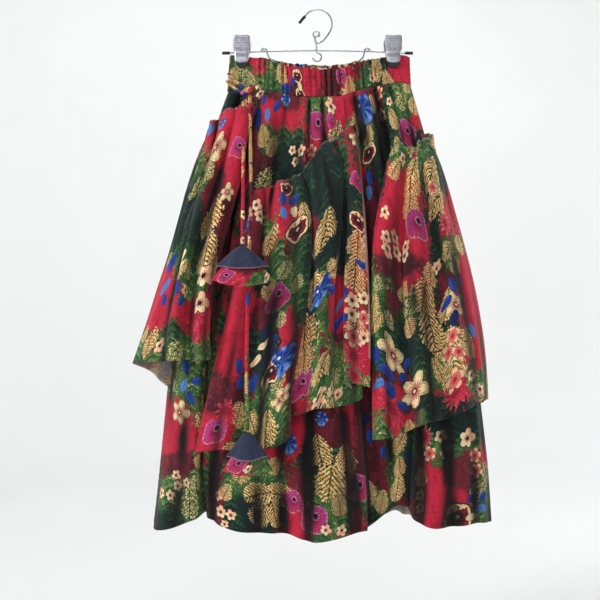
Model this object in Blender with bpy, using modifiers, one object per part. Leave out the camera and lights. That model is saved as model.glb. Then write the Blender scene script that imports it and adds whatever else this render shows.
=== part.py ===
"""Tiered ruffle skirt hung by its waistband from a clip hanger.

Metres, Z up, front faces -Y. The origin is the inside top of the hanger's hook, where a rail carries it.
Tables are in millimetres. "Out" is how far a surface stands from the plane of the hanger: a positive
value is towards the front, a negative one towards the back.
"""

import math

import bpy
import numpy as np

MM = 0.001

# ---- driving dimensions, in millimetres ----
WIRE = 1.5                    # radius of the hanger's wires
BAR_HEIGHT = -77.6            # the bar at its ends
BAR_ARCH = 4.6                # how much higher it is in the middle
BAR_HALF = 159.0              # half the bar without its end caps
CAP_LENGTH = 14.0
CLIP_X = 137.4                # the clips' places along the bar
HOOK_RADIUS = 26.5            # to the middle of the wire

CLOTH = 1.5                   # wall of the skirt's body
TIER_CLOTH = 1.2              # wall of the three ruffles
BAND_CLOTH = 2.0              # the elastic casing, several layers thick
TASSEL_CLOTH = 1.0
SEAM_GAP = 1.0                # between pieces at a seam
RUFFLE_GAP = 3.2              # from the body to a ruffle's gathers
FOLD_PARTS = 2                # facets from one fold line to the next
BODY_ROWS = 11
TIER_ROWS = 9

# The waistband from its left end to its right end: top edge, bottom edge and half its depth.
#  x_top z_top x_bottom z_bottom out
WAISTBAND = (
    (-157, -83, -161, -148, 0.3),
    (-151, -84, -154, -149, 1.8),
    (-137, -85, -139, -148, 1.8),
    (-124, -87, -124, -146, 1.8),
    (-101, -92, -101, -147, 8),
    (-77, -99, -79, -150, 12),
    (-50, -107, -53, -158, 15),
    (-26, -110, -28, -161, 16),
    (4, -112, 2, -161, 16),
    (28, -111, 28, -160, 15),
    (49, -107, 49, -157, 13),
    (77, -98, 77, -147, 10),
    (98, -93, 102, -140, 7),
    (124, -87, 127, -135, 1.8),
    (137, -84, 141, -132, 1.8),
    (156, -83, 160, -132, 1.8),
    (164, -84, 167, -138, 0.3),
)
BACK_EDGE_RISE = 17           # the back of the band's top edge, above the front in the middle

# Fold lines of the body's front, left to right. Each runs from the waistband to the hem.
#  name, x at the seam, a third and two thirds down and at the hem, hem z, out half way and at the hem
BODY_FOLDS = (
    ("side_left", -161, -234, -270, -297, -940, 0.6, 0.6),
    ("left_peak", -148, -206, -243, -266, -931, 30, 46),
    ("left_edge", -131, -176, -206, -219, -910, 38, 60),
    ("left_valley", -120, -161, -197, -198, -906, 18, 12),
    ("middle_edge", -109, -144, -187, -188, -914, 38, 52),
    ("middle_peak", -90, -114, -146, -140, -929, 42, 66),
    ("middle_flat", -68, -82, -97, -95, -932, 38, 60),
    ("centre_valley", -46, -52, -52, -53, -936, 30, 54),
    ("centre_peak", -25, -25, -23, -13, -946, 42, 74),
    ("centre_flat", 1, 7, 21, 31, -942, 42, 68),
    ("centre_edge", 22, 36, 58, 68, -932, 38, 60),
    ("right_valley", 40, 58, 81, 94, -932, 18, 18),
    ("narrow_left", 58, 76, 104, 124, -907, 24, 22),
    ("narrow_peak", 76, 100, 128, 142, -891, 38, 34),
    ("narrow_right", 93, 119, 148, 154, -895, 34, 28),
    ("side_valley", 109, 141, 163, 167, -901, 16, 12),
    ("panel_edge", 124, 159, 177, 169, -915, 38, 46),
    ("panel_peak", 138, 180, 209, 202, -925, 42, 62),
    ("panel_flat", 151, 199, 246, 244, -924, 34, 54),
    ("shoulder", 162, 226, 271, 281, -922, 22, 34),
    ("side_right", 168, 238, 288, 315, -927, 0.6, 0.6),
)
BACK_DEPTH = 0.8              # the back's folds, as a share of the front's
BACK_HEM = -928

# Fold lines of the ruffles, from the free edge at the front, round the side, to the centre back.
#  name, x and z at the seam, x a third and two thirds down, x and z at the hem, out half way and at the hem
LEFT_FOLDS = (
    ("front_edge", -124, -186, -146, -180, -187, -629, 58, 76),
    ("edge_peak", -132, -187, -159, -192, -197, -631, 76, 94),
    ("valley_1", -143, -190, -183, -219, -224, -631, 54, 70),
    ("mid_peak", -154, -192, -197, -235, -247, -631, 76, 94),
    ("valley_2", -165, -195, -209, -254, -284, -635, 50, 64),
    ("side_peak", -177, -205, -222, -268, -306, -638, 42, 52),
    ("side", -186, -212, -239, -284, -335, -643, 4, 2),
    ("back_turn", -180, -216, -230, -274, -315, -661, -44, -54),
    ("back_valley", -168, -222, -203, -242, -281, -691, -42, -56),
    ("back_peak", -146, -233, -170, -200, -228, -715, -70, -84),
    ("back_valley_2", -117, -243, -131, -147, -165, -724, -46, -62),
    ("back_peak_2", -83, -254, -91, -101, -113, -739, -72, -86),
    ("back_valley_3", -47, -265, -49, -53, -58, -743, -48, -62),
    ("back_edge", -10, -274, -8, -7, -6, -752, -54, -70),
)
RIGHT_FOLDS = (
    ("front_edge", 138, -253, 101, 94, 95, -769, 60, 76),
    ("front_peak", 147, -259, 119, 117, 118, -763, 80, 94),
    ("valley_1", 157, -261, 148, 149, 156, -754, 54, 70),
    ("peak_2", 166, -260, 169, 179, 190, -737, 80, 92),
    ("valley_2", 176, -256, 201, 215, 222, -734, 52, 68),
    ("peak_3", 185, -249, 217, 239, 251, -719, 66, 78),
    ("side_peak", 193, -239, 235, 267, 282, -709, 38, 46),
    ("side", 199, -230, 249, 290, 308, -707, 4, 1),
    ("back_turn", 193, -227, 245, 284, 300, -720, -46, -56),
    ("back_valley", 178, -233, 216, 250, 267, -739, -44, -58),
    ("back_peak", 152, -244, 186, 211, 222, -758, -72, -84),
    ("back_valley_2", 123, -255, 141, 155, 161, -762, -50, -62),
    ("back_peak_2", 90, -265, 100, 106, 107, -770, -74, -86),
    ("back_valley_3", 53, -276, 54, 55, 55, -768, -52, -64),
    ("back_edge", 10, -284, 9, 8, 7, -771, -56, -70),
)
# The same columns for the centre ruffle, from its left free edge to its right one.
CENTRE_FOLDS = (
    ("left_edge", -116, -339, -142, -178, -211, -789, 64, 82),
    ("peak_1", -103, -335, -122, -145, -165, -782, 80, 98),
    ("valley_1", -91, -330, -102, -117, -130, -788, 58, 76),
    ("peak_2", -73, -327, -77, -88, -95, -782, 80, 98),
    ("edge_2", -35, -314, -24, -45, -56, -765, 88, 102),
    ("valley_2", -25, -303, -20, -41, -61, -735, 56, 72),
    ("left_3", -12, -287, -13, -28, -37, -726, 68, 84),
    ("peak_3", 4, -266, 5, -4, -6, -713, 82, 96),
    ("edge_3", 27, -249, 31, 20, 19, -711, 82, 96),
    ("valley_3", 35, -243, 34, 27, 29, -712, 54, 72),
    ("lobe", 47, -235, 47, 51, 61, -705, 64, 78),
    ("lobe_end", 54, -227, 65, 71, 74, -692, 50, 70),
    ("strip_left", 60, -223, 56, 47, 47, -669, 72, 90),
    ("right_edge", 68, -216, 81, 88, 88, -677, 62, 84),
)

# Ties, as points (x, out, z) down each one.
TIE_UPPER = ((-162, 7, -117), (-153, 10, -127), (-143, 14, -136), (-133, 17, -145))
TIE_LOWER = ((-165, 7, -130), (-156, 10, -139), (-147, 13, -147), (-137, 16, -153))
CORD_SHORT = ((-133, 20, -171), (-133, 34, -205), (-131, 54, -262), (-130, 84, -366), (-129, 110, -434))
CORD_LONG = (
    (-122, 22, -161), (-121, 34, -200), (-119, 50, -262), (-117, 72, -352),
    (-119, 86, -440), (-121, 96, -527), (-122, 112, -646), (-120, 122, -745),
)
TIE_RADIUS, CORD_RADIUS = 2.6, 3.2
# Tassels: name, apex (x, out, z), half width and half depth of the hem, height, drop of the corners, lobes
TASSELS = (
    ("tassel_upper_lining", (-129, 113, -439), 39, 13, 36, -4, 3),
    ("tassel_upper_cloth", (-129, 113, -446), 47, 9.5, 58, -9, 4),
    ("tassel_lower_lining", (-120, 124, -750), 30, 13, 44, -6, 2),
    ("tassel_lower_cloth", (-119, 124, -757), 36, 9.5, 62, -6, 3),
)


# ---- building blocks ----
def material(name, colour, roughness, metallic=0.0):
    made = bpy.data.materials.new(name)
    made.use_nodes = True
    shader = made.node_tree.nodes["Principled BSDF"]
    shader.inputs["Base Color"].default_value = (*colour, 1)
    shader.inputs["Roughness"].default_value = roughness
    shader.inputs["Metallic"].default_value = metallic
    return made


def add(name, data, look):
    """Puts the data in the scene as an object in a collection of its own name."""
    made = bpy.data.objects.new(name, data)
    home = bpy.data.collections.new(name)
    bpy.context.scene.collection.children.link(home)
    home.objects.link(made)
    data.materials.append(look)
    return made


def mesh(name, points, faces, look, smooth=True):
    """An object from points (x, out, z) in millimetres."""
    data = bpy.data.meshes.new(name)
    data.from_pydata([(x * MM, -out * MM, z * MM) for x, out, z in points], [], faces)
    if smooth:
        data.shade_smooth()
    return add(name, data, look)


def wire(name, points, radius, look):
    """A round wire or cord with closed ends, through points (x, out, z)."""
    data = bpy.data.curves.new(name, "CURVE")
    data.dimensions = "3D"
    data.bevel_depth = radius * MM
    data.bevel_resolution = 2
    data.use_fill_caps = True
    line = data.splines.new("POLY")
    line.points.add(len(points) - 1)
    for knot, (x, out, z) in zip(line.points, points):
        knot.co = (x * MM, -out * MM, z * MM, 1)
    return add(name, data, look)


def through(knots, parts, before=None, after=None):
    """A smooth curve through the knots, with that many parts between neighbours."""
    knots = np.array(knots, float)
    before = 2 * knots[0] - knots[1] if before is None else np.array(before, float)
    after = 2 * knots[-1] - knots[-2] if after is None else np.array(after, float)
    line = np.vstack([before, knots, after])
    found = []
    for i in range(1, len(line) - 2):
        a, b, c, d = line[i - 1: i + 3]
        for step in range(parts):
            t = step / parts
            found.append(
                0.5 * (2 * b + (c - a) * t + (2 * a - 5 * b + 4 * c - d) * t**2
                       + (3 * b - a - 3 * c + d) * t**3)
            )
    found.append(knots[-1])
    return np.array(found)


def arc(centre, radius, start, end, steps, out=0.0, drift=0.0):
    """Points round an arc in the hanger's plane, drifting out along it. Angles are in degrees."""
    found = []
    for i in range(steps + 1):
        share = i / steps
        angle = math.radians(start + (end - start) * share)
        x = centre[0] + radius * math.cos(angle)
        z = centre[1] + radius * math.sin(angle)
        found.append((x, out + drift * share, z))
    return found


def strip_faces(rows, columns, closed=False):
    """Faces of a grid of points, facing out when a row runs left to right across the front."""
    around = columns if closed else columns - 1
    return [
        (r * columns + c, (r + 1) * columns + c,
         (r + 1) * columns + (c + 1) % columns, r * columns + (c + 1) % columns)
        for r in range(rows - 1)
        for c in range(around)
    ]


def cloth(name, rows, thickness, look, closed=False):
    """A closed cloth piece: the rows of points are its inner face."""
    rows = np.array(rows)
    made = mesh(name, rows.reshape(-1, 3), strip_faces(*rows.shape[:2], closed), look)
    wall = made.modifiers.new("wall", "SOLIDIFY")
    wall.thickness = thickness * MM
    wall.offset = 1
    wall.use_even_offset = False
    return made


# ---- the cloth's folds ----
def between(share, values):
    """A value along a fold line from its values at the seam, a third, two thirds and the hem."""
    places = (0, 1 / 3, 2 / 3, 1)
    total = 0.0
    for place, value in zip(places, values):
        others = [p for p in places if p != place]
        total += value * math.prod((share - p) / (place - p) for p in others)
    return total


def opened(share, seam, middle, hem):
    """How far out a fold stands: it opens quickly below the seam and slowly after."""
    depth, half = share**0.6, 0.5**0.6
    return (
        seam * (depth - half) * (depth - 1) / half
        + middle * depth * (depth - 1) / (half * (half - 1))
        + hem * depth * (depth - half) / (1 - half)
    )


def waist_seam(x):
    """The height and the depth of the waistband's bottom edge at x."""
    band = np.array(WAISTBAND)
    return np.interp(x, band[:, 2], band[:, 3]), np.interp(x, band[:, 2], band[:, 4])


def body_knots(share, back):
    """The body's fold lines at that share of the way down, as points (x, out, z), left to right."""
    found = []
    for name, x0, x1, x2, x3, hem_z, middle, hem in BODY_FOLDS:
        seam_z, seam_out = waist_seam(x0)
        seam_out = max(seam_out + 0.5, 0.6)
        out = opened(share, seam_out, middle, hem)
        x = between(share, (x0, x1, x2, x3))
        if name.startswith("side_left") or name.startswith("side_right"):
            out = 0.6
        if back:
            out *= -1 if out == 0.6 else -BACK_DEPTH
            hem_z = (hem_z + 2 * BACK_HEM) / 3
        z = seam_z - SEAM_GAP + (hem_z - seam_z) * share
        found.append((x, out, z))
    return found


def body_row(share, back, parts):
    """One row of the body's cloth. The side folds turn fully, so that the skirt has no flat corner."""
    knots = body_knots(share, back)
    before = (knots[1][0], -knots[1][1], knots[1][2])
    after = (knots[-2][0], -knots[-2][1], knots[-2][2])
    row = through(knots, parts, before, after)
    return row[::-1] if back else row


def body_out(x, z):
    """How far out the body's outer face stands at x and z, on the front."""
    seam_z, _ = waist_seam(x)
    share = min(max((seam_z - z) / (seam_z + 930), 0.0), 1.0)
    row = body_row(share, False, 4)
    return float(np.interp(x, row[:, 0], row[:, 1])) + CLOTH


def ruffle_rows(folds, heights, parts):
    """A ruffle's rows from its gathered seam, which lies on the body, down to its hem."""
    rows = []
    for i in range(heights):
        share = i / (heights - 1)
        knots = []
        for _, seam_x, seam_z, x1, x2, hem_x, hem_z, middle, hem in folds:
            seam = body_out(seam_x, seam_z) + RUFFLE_GAP
            side = 1 if middle > 0 else -1
            if abs(middle) < 10:
                seam, side = 0.0, 1
            out = opened(share, side * seam, middle, hem)
            knots.append((between(share, (seam_x, x1, x2, hem_x)), out, seam_z + (hem_z - seam_z) * share))
        rows.append(through(knots, parts))
    return rows


def tassel_rows(apex, half_width, half_depth, height, corner_drop, lobes, around=20, heights=5):
    """A small cloth cone that hangs from its apex, with folds that open towards the hem."""
    rows = []
    for i in range(heights):
        share = i / (heights - 1)
        grown = share**0.8
        row = []
        for k in range(around):
            angle = 2 * math.pi * k / around
            fold = 1 + 0.12 * grown * math.cos(2 * lobes * angle)
            x = apex[0] + (4.2 + (half_width - 4.2) * grown) * fold * math.cos(angle)
            out = apex[1] - (4.2 + (half_depth - 4.2) * grown) * fold * math.sin(angle)
            z = apex[2] - share * (height + corner_drop * math.cos(angle) ** 2)
            row.append((x, out, z))
        rows.append(row[::-1])
    return rows


# ---- hanger pieces ----
def plate(name, side, profile, half_widths, thickness, look):
    """A bent plate of a clip: profile is (out, z) down its middle; side is 1 at the front and -1 at the back."""
    x0, flip = side
    across = 8
    rows = []
    for (out, z), half in zip(profile, half_widths):
        row = [(x0 + half * (2 * c / across - 1), flip * out, z) for c in range(across + 1)]
        rows.append(row if flip > 0 else row[::-1])
    return cloth(name, rows, thickness, look)


def block(name, centre, size, look, bevel=0.6):
    """A box with softened edges, from its centre and size (x, out, z)."""
    points = [
        (centre[0] + sx * size[0] / 2, centre[1] + so * size[1] / 2, centre[2] + sz * size[2] / 2)
        for sx in (-1, 1) for so in (-1, 1) for sz in (-1, 1)
    ]
    faces = [(0, 1, 3, 2), (4, 6, 7, 5), (0, 4, 5, 1), (2, 3, 7, 6), (0, 2, 6, 4), (1, 5, 7, 3)]
    made = mesh(name, points, [face[::-1] for face in faces], look, smooth=False)
    edge = made.modifiers.new("edge", "BEVEL")
    edge.width = bevel * MM
    edge.segments = 2
    return made


def half_disc(name, centre, radius, height, thickness, look):
    """A clip's rubber pad: straight at its top and round at its bottom."""
    outline = [(radius, height - radius)] + [
        (radius * math.cos(math.radians(a)), -radius * math.sin(math.radians(a))) for a in range(0, 181, 15)
    ] + [(-radius, height - radius)]
    count = len(outline)
    points = [
        (centre[0] + x, centre[1] + out, centre[2] + z)
        for out in (-thickness / 2, thickness / 2) for x, z in outline
    ]
    faces = [tuple(range(count)), tuple(range(2 * count - 1, count - 1, -1))]
    faces += [(i, i + count, (i + 1) % count + count, (i + 1) % count) for i in range(count)]
    return mesh(name, points, faces, look, smooth=False)


def bar_z(x):
    """The middle of the bar, which is a little arched."""
    return BAR_HEIGHT + BAR_ARCH * (1 - (x / BAR_HALF) ** 2)


def build_hanger(steel, rubber):
    bar = [(x, 0, bar_z(x)) for x in np.linspace(-BAR_HALF, BAR_HALF, 25)]
    wire("hanger_bar", bar, WIRE, steel)
    for name, side in (("bar_cap_left", -1), ("bar_cap_right", 1)):
        start = side * (BAR_HALF + 0.4)
        cap = [(start + side * CAP_LENGTH * t, 0, BAR_HEIGHT - 0.3 * t) for t in (0, 0.5, 1)]
        wire(name, cap, 2.9, rubber)

    centre = (0, WIRE - HOOK_RADIUS)
    hook = arc(centre, HOOK_RADIUS, 146, -32, 30)
    hook += [(18.5, 0, -45.5), (13.5, 0, -52.0), (9.0, 0, -57.0)]
    hook += arc((1.5, -53.5), 6.5, -28, -300, 20, 0.2, 3.6)
    wire("hanger_hook", hook, WIRE, steel)
    wire("hook_tip", [(-22.6, 0, -10.9), (-27.6, 0, -16.4), (-33.2, 0, -23.2)], 2.7, rubber)

    link = arc((-2.5, -46.5), 5.5, -60, 250, 20, 11.0, -3.6)
    link += [(-3.6, 7.2, -58), (-2.4, 6.6, -64), (-1.5, 5.2, -70), (-1.2, 4.2, -76)]
    link += arc((-1.0, -86.7), 8.0, 92, -170, 24, 4.0, 4.2)
    wire("neck_link", link, WIRE, steel)

    brace = arc((-97.0, bar_z(-97) - 0.5), 4.8, 200, -20, 14, 3.6)
    brace += [(-89.0, 4.4, -86.0), (-77.0, 4.6, -97.5), (-40.0, 5.0, -129.0), (-6.0, 5.0, -160.5), (2.0, 5.0, -165.0)]
    brace += [(10.0, 5.0, -160.5), (40.0, 5.0, -127.0), (71.0, 4.6, -96.5), (82.0, 4.4, -88.0)]
    brace += arc((90.0, bar_z(90) - 0.5), 4.8, 200, -20, 14, 3.6)
    wire("hanger_brace", brace, WIRE, steel)


def build_clip(tag, x0, steel, rubber, spring_steel):
    """A sprung clip that grips both layers of the band: two bent plates, two pads, barrel and spring."""
    z0 = bar_z(x0)
    profile = (
        (13.0, z0 + 27), (12.4, z0 + 19), (11.0, z0 + 11), (8.6, z0 + 4), (7.6, z0),
        (8.2, z0 - 5), (9.0, z0 - 11), (9.0, z0 - 17), (8.6, z0 - 20.5),
    )
    half_widths = (14.0, 15.6, 15.2, 14.6, 12.4, 12.2, 12.0, 10.0, 6.0)
    for face, flip in (("front", 1), ("back", -1)):
        plate(f"clip_{tag}_{face}", (x0, flip), profile, half_widths, 1.2, steel)
        half_disc(f"clip_{tag}_pad_{face}", (x0, flip * 6.4, z0 - 18.5), 11.4, 17.0, 4.0, rubber)
    wire(f"clip_{tag}_spring_left", arc_ring(x0 - 6.2, z0, 4.6), 0.9, spring_steel)
    wire(f"clip_{tag}_spring_right", arc_ring(x0 + 6.2, z0, 4.6), 0.9, spring_steel)


def arc_ring(x0, z0, radius):
    """Two turns of spring round the bar."""
    found = []
    for i in range(33):
        angle = 4 * math.pi * i / 32
        found.append((x0 + 4.4 * (i / 32 - 0.5), radius * math.cos(angle), z0 + radius * math.sin(angle)))
    return found


# ---- the skirt ----
def band_rows():
    """The waistband's rows, front then back, as a closed ring."""
    rows = []
    for share in (0.0, 0.5, 1.0):
        front, back = [], []
        for x_top, z_top, x_bottom, z_bottom, out in WAISTBAND:
            x = x_top + (x_bottom - x_top) * share
            z = z_top + (z_bottom - z_top) * share
            front.append((x, out, z))
            back.append((x, -out, z + BACK_EDGE_RISE * (1 - share) * min(out / 16, 1)))
        ring = front + back[::-1]
        rows.append(ring)
    return rows


def build_skirt(looks):
    cloth("waistband", band_rows(), BAND_CLOTH, looks["band"], closed=True)
    for name, back in (("body_front", False), ("body_back", True)):
        rows = [body_row(i / (BODY_ROWS - 1), back, FOLD_PARTS) for i in range(BODY_ROWS)]
        cloth(name, rows, CLOTH, looks["body"])
    left = ruffle_rows(LEFT_FOLDS[::-1], TIER_ROWS, FOLD_PARTS)
    cloth("ruffle_left", left, TIER_CLOTH, looks["ruffle"])
    right = ruffle_rows(RIGHT_FOLDS, TIER_ROWS, FOLD_PARTS)
    cloth("ruffle_right", right, TIER_CLOTH, looks["ruffle"])
    centre = ruffle_rows(CENTRE_FOLDS, TIER_ROWS, FOLD_PARTS)
    cloth("ruffle_centre", centre, TIER_CLOTH, looks["ruffle"])
    block("label", (10.5, -13.0, -113.5), (15, 0.6, 24), looks["label"], bevel=0.2)


def build_ties(looks):
    wire("tie_upper", through(TIE_UPPER, 3), TIE_RADIUS, looks["tie"])
    wire("tie_lower", through(TIE_LOWER, 3), TIE_RADIUS, looks["tie"])
    knot = [(-136.0, 24.0, -160.0), (-131.5, 25.5, -156.5), (-121.0, 25.5, -148.5), (-116.5, 24.0, -145.0)]
    wire("tie_knot", through(knot, 2), 4.6, looks["knot"])
    wire("cord_short", through(CORD_SHORT, 4), CORD_RADIUS, looks["tie"])
    wire("cord_long", through(CORD_LONG, 4), CORD_RADIUS, looks["tie"])
    for name, apex, half_width, half_depth, height, drop, lobes in TASSELS:
        rows = tassel_rows(apex, half_width, half_depth, height, drop, lobes)
        cloth(name, rows, TASSEL_CLOTH, looks["lining" if "lining" in name else "ruffle"], closed=True)


def main():
    for old in list(bpy.data.objects):
        bpy.data.objects.remove(old, do_unlink=True)
    steel = material("chrome", (0.80, 0.80, 0.82), 0.12, 1.0)
    spring_steel = material("spring_steel", (0.62, 0.62, 0.64), 0.25, 1.0)
    rubber = material("black_rubber", (0.02, 0.02, 0.022), 0.6)
    looks = {
        "band": material("band_print", (0.42, 0.05, 0.08), 0.85),
        "body": material("body_print", (0.10, 0.20, 0.08), 0.85),
        "ruffle": material("ruffle_print", (0.45, 0.06, 0.08), 0.85),
        "tie": material("tie_print", (0.40, 0.10, 0.08), 0.85),
        "knot": material("knot_print", (0.48, 0.03, 0.07), 0.85),
        "lining": material("navy_lining", (0.05, 0.06, 0.12), 0.8),
        "label": material("white_label", (0.80, 0.80, 0.78), 0.8),
    }
    build_hanger(steel, rubber)
    build_clip("left", -CLIP_X, steel, rubber, spring_steel)
    build_clip("right", CLIP_X, steel, rubber, spring_steel)
    build_skirt(looks)
    build_ties(looks)


main()
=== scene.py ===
"""Looks for the tiered ruffle skirt on its clip hanger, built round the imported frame.

Blender works in metres, and the tables are in millimetres. "Out" is how far a surface stands from the plane
of the hanger: a positive value is towards the front, which faces -Y. The fold tables repeat the solids' own.
"""

import math

import bpy
import numpy as np
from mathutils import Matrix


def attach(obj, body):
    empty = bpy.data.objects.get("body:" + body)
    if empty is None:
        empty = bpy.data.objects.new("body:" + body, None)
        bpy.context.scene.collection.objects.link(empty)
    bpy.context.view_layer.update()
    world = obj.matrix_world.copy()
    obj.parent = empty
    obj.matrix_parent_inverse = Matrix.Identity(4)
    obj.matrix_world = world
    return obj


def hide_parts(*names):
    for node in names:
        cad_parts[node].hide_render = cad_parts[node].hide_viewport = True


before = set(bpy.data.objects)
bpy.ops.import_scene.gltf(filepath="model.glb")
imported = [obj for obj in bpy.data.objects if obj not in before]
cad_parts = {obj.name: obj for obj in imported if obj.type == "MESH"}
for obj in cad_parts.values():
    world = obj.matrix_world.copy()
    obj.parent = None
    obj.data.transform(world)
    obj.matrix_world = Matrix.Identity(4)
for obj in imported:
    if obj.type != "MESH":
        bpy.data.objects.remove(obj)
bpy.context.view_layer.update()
MM = 0.001

# ---- camera, in millimetres ----
CAMERA_AT = (-31.85, -1500.0, -527.1)
LENS, SENSOR = 49.45, 36.0

# ---- the studio, in metres ----
ROOM_RADIUS, ROOM_FLOOR, ROOM_TOP, ROOM_BEND = 2.9, -1.25, 1.9, 0.9
SKIRT_MIDDLE = (0.0, 0.0, -0.5)
#  name, place, the point it faces, size and power
LAMPS = (
    ("key", (-2.3, -1.2, 0.8), SKIRT_MIDDLE, 0.5, 38),
    ("front", (-0.3, -2.5, 0.3), SKIRT_MIDDLE, 1.5, 8),
    ("ceiling", (0.1, -0.45, 1.1), SKIRT_MIDDLE, 0.8, 5),
    ("back_key", (2.3, 1.0, 0.8), SKIRT_MIDDLE, 0.5, 26),
    ("behind", (0.0, 0.9, 1.6), (0.0, 2.9, -0.6), 2.0, 30),
)

# ---- cloth sizes, in millimetres ----
CLOTH, TIER_CLOTH, BAND_CLOTH, TASSEL_CLOTH = 1.5, 1.2, 2.0, 1.0    # the walls of the solids
SKIN = 0.7                          # the wall of the cloth that is seen
SEAM_GAP, RUFFLE_GAP = 1.0, 3.2     # under the waistband, and between the body and a ruffle's seam
BACK_DEPTH, BACK_HEM = 0.8, -928    # the back's folds as a share of the front's, and where its hem tends
BAR_HEIGHT, BAR_ARCH, BAR_HALF, CLIP_X = -77.6, 4.6, 159, 137.4
# A clip's plate down its length.
#  out, height from the bar, half width
CLIP_PLATE = (
    (13.0, 27, 14.0), (12.4, 19, 15.6), (11.0, 11, 15.2), (8.6, 4, 14.6), (7.6, 0, 12.4),
    (8.2, -5, 12.2), (9.0, -11, 12.0), (9.0, -17, 11.6), (8.6, -20.5, 11.0),
)
HEM_TURN = 8.0                      # the turned hem, up to its stitches
TURNED_EDGE = 5.0                   # the centre ruffle's right edge, where it shows its reverse
TIE_RADIUS, CORD_RADIUS, KNOT_RADIUS, TUBE_WALL = 2.6, 3.2, 4.6, 0.6
CLIP_LENGTH, CLIP_CORNER, CLIP_WALL = 47.5, 2.5, 1.2
RIB_PITCH, RIB_HEIGHT, RIBBED_FROM, RIBBED_TO = 3.4, 0.55, 2.0, 21.0
EASINGS, LEAST_STEP = 16, 0.2         # rounds of easing, and the least share of its width that a column keeps
# The cut's width over the width it is gathered to, at the seam and at the hem.
FULLNESS = {"body": (1.9, 1.0), "ruffle": (1.6, 1.0), "band": (1.5, 1.5), "tie": (1.0, 1.0)}

# The waistband from its left end to its right end: top edge, bottom edge and half its depth.
#  x_top z_top x_bottom z_bottom out
WAISTBAND = (
    (-157, -83, -161, -148, 0.3),
    (-151, -84, -154, -149, 1.8),
    (-137, -85, -139, -148, 1.8),
    (-124, -87, -124, -146, 1.8),
    (-101, -92, -101, -147, 8),
    (-77, -99, -79, -150, 12),
    (-50, -107, -53, -158, 15),
    (-26, -110, -28, -161, 16),
    (4, -112, 2, -161, 16),
    (28, -111, 28, -160, 15),
    (49, -107, 49, -157, 13),
    (77, -98, 77, -147, 10),
    (98, -93, 102, -140, 7),
    (124, -87, 127, -135, 1.8),
    (137, -84, 141, -132, 1.8),
    (156, -83, 160, -132, 1.8),
    (164, -84, 167, -138, 0.3),
)
BACK_EDGE_RISE = 17           # the back of the band's top edge, above the front in the middle

# Fold lines of the body's front, left to right. Each runs from the waistband to the hem.
#  name, x at the seam, a third and two thirds down and at the hem, hem z, out half way and at the hem
BODY_FOLDS = (
    ("side_left", -161, -234, -270, -297, -940, 0.6, 0.6),
    ("left_peak", -148, -206, -243, -266, -931, 30, 46),
    ("left_edge", -131, -176, -206, -219, -910, 38, 60),
    ("left_valley", -120, -161, -197, -198, -906, 18, 12),
    ("middle_edge", -109, -144, -187, -188, -914, 38, 52),
    ("middle_peak", -90, -114, -146, -140, -929, 42, 66),
    ("middle_flat", -68, -82, -97, -95, -932, 38, 60),
    ("centre_valley", -46, -52, -52, -53, -936, 30, 54),
    ("centre_peak", -25, -25, -23, -13, -946, 42, 74),
    ("centre_flat", 1, 7, 21, 31, -942, 42, 68),
    ("centre_edge", 22, 36, 58, 68, -932, 38, 60),
    ("right_valley", 40, 58, 81, 94, -932, 18, 18),
    ("narrow_left", 58, 76, 104, 124, -907, 24, 22),
    ("narrow_peak", 76, 100, 128, 142, -891, 38, 34),
    ("narrow_right", 93, 119, 148, 154, -895, 34, 28),
    ("side_valley", 109, 141, 163, 167, -901, 16, 12),
    ("panel_edge", 124, 159, 177, 169, -915, 38, 46),
    ("panel_peak", 138, 180, 209, 202, -925, 42, 62),
    ("panel_flat", 151, 199, 246, 244, -924, 34, 54),
    ("shoulder", 162, 226, 271, 281, -922, 22, 34),
    ("side_right", 168, 238, 288, 315, -927, 0.6, 0.6),
)

# Fold lines of the ruffles, from the free edge at the front, round the side, to the centre back.
#  name, x and z at the seam, x a third and two thirds down, x and z at the hem, out half way and at the hem
LEFT_FOLDS = (
    ("front_edge", -124, -186, -146, -180, -187, -629, 58, 76),
    ("edge_peak", -132, -187, -159, -192, -197, -631, 76, 94),
    ("valley_1", -143, -190, -183, -219, -224, -631, 54, 70),
    ("mid_peak", -154, -192, -197, -235, -247, -631, 76, 94),
    ("valley_2", -165, -195, -209, -254, -284, -635, 50, 64),
    ("side_peak", -177, -205, -222, -268, -306, -638, 42, 52),
    ("side", -186, -212, -239, -284, -335, -643, 4, 2),
    ("back_turn", -180, -216, -230, -274, -315, -661, -44, -54),
    ("back_valley", -168, -222, -203, -242, -281, -691, -42, -56),
    ("back_peak", -146, -233, -170, -200, -228, -715, -70, -84),
    ("back_valley_2", -117, -243, -131, -147, -165, -724, -46, -62),
    ("back_peak_2", -83, -254, -91, -101, -113, -739, -72, -86),
    ("back_valley_3", -47, -265, -49, -53, -58, -743, -48, -62),
    ("back_edge", -10, -274, -8, -7, -6, -752, -54, -70),
)
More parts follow.
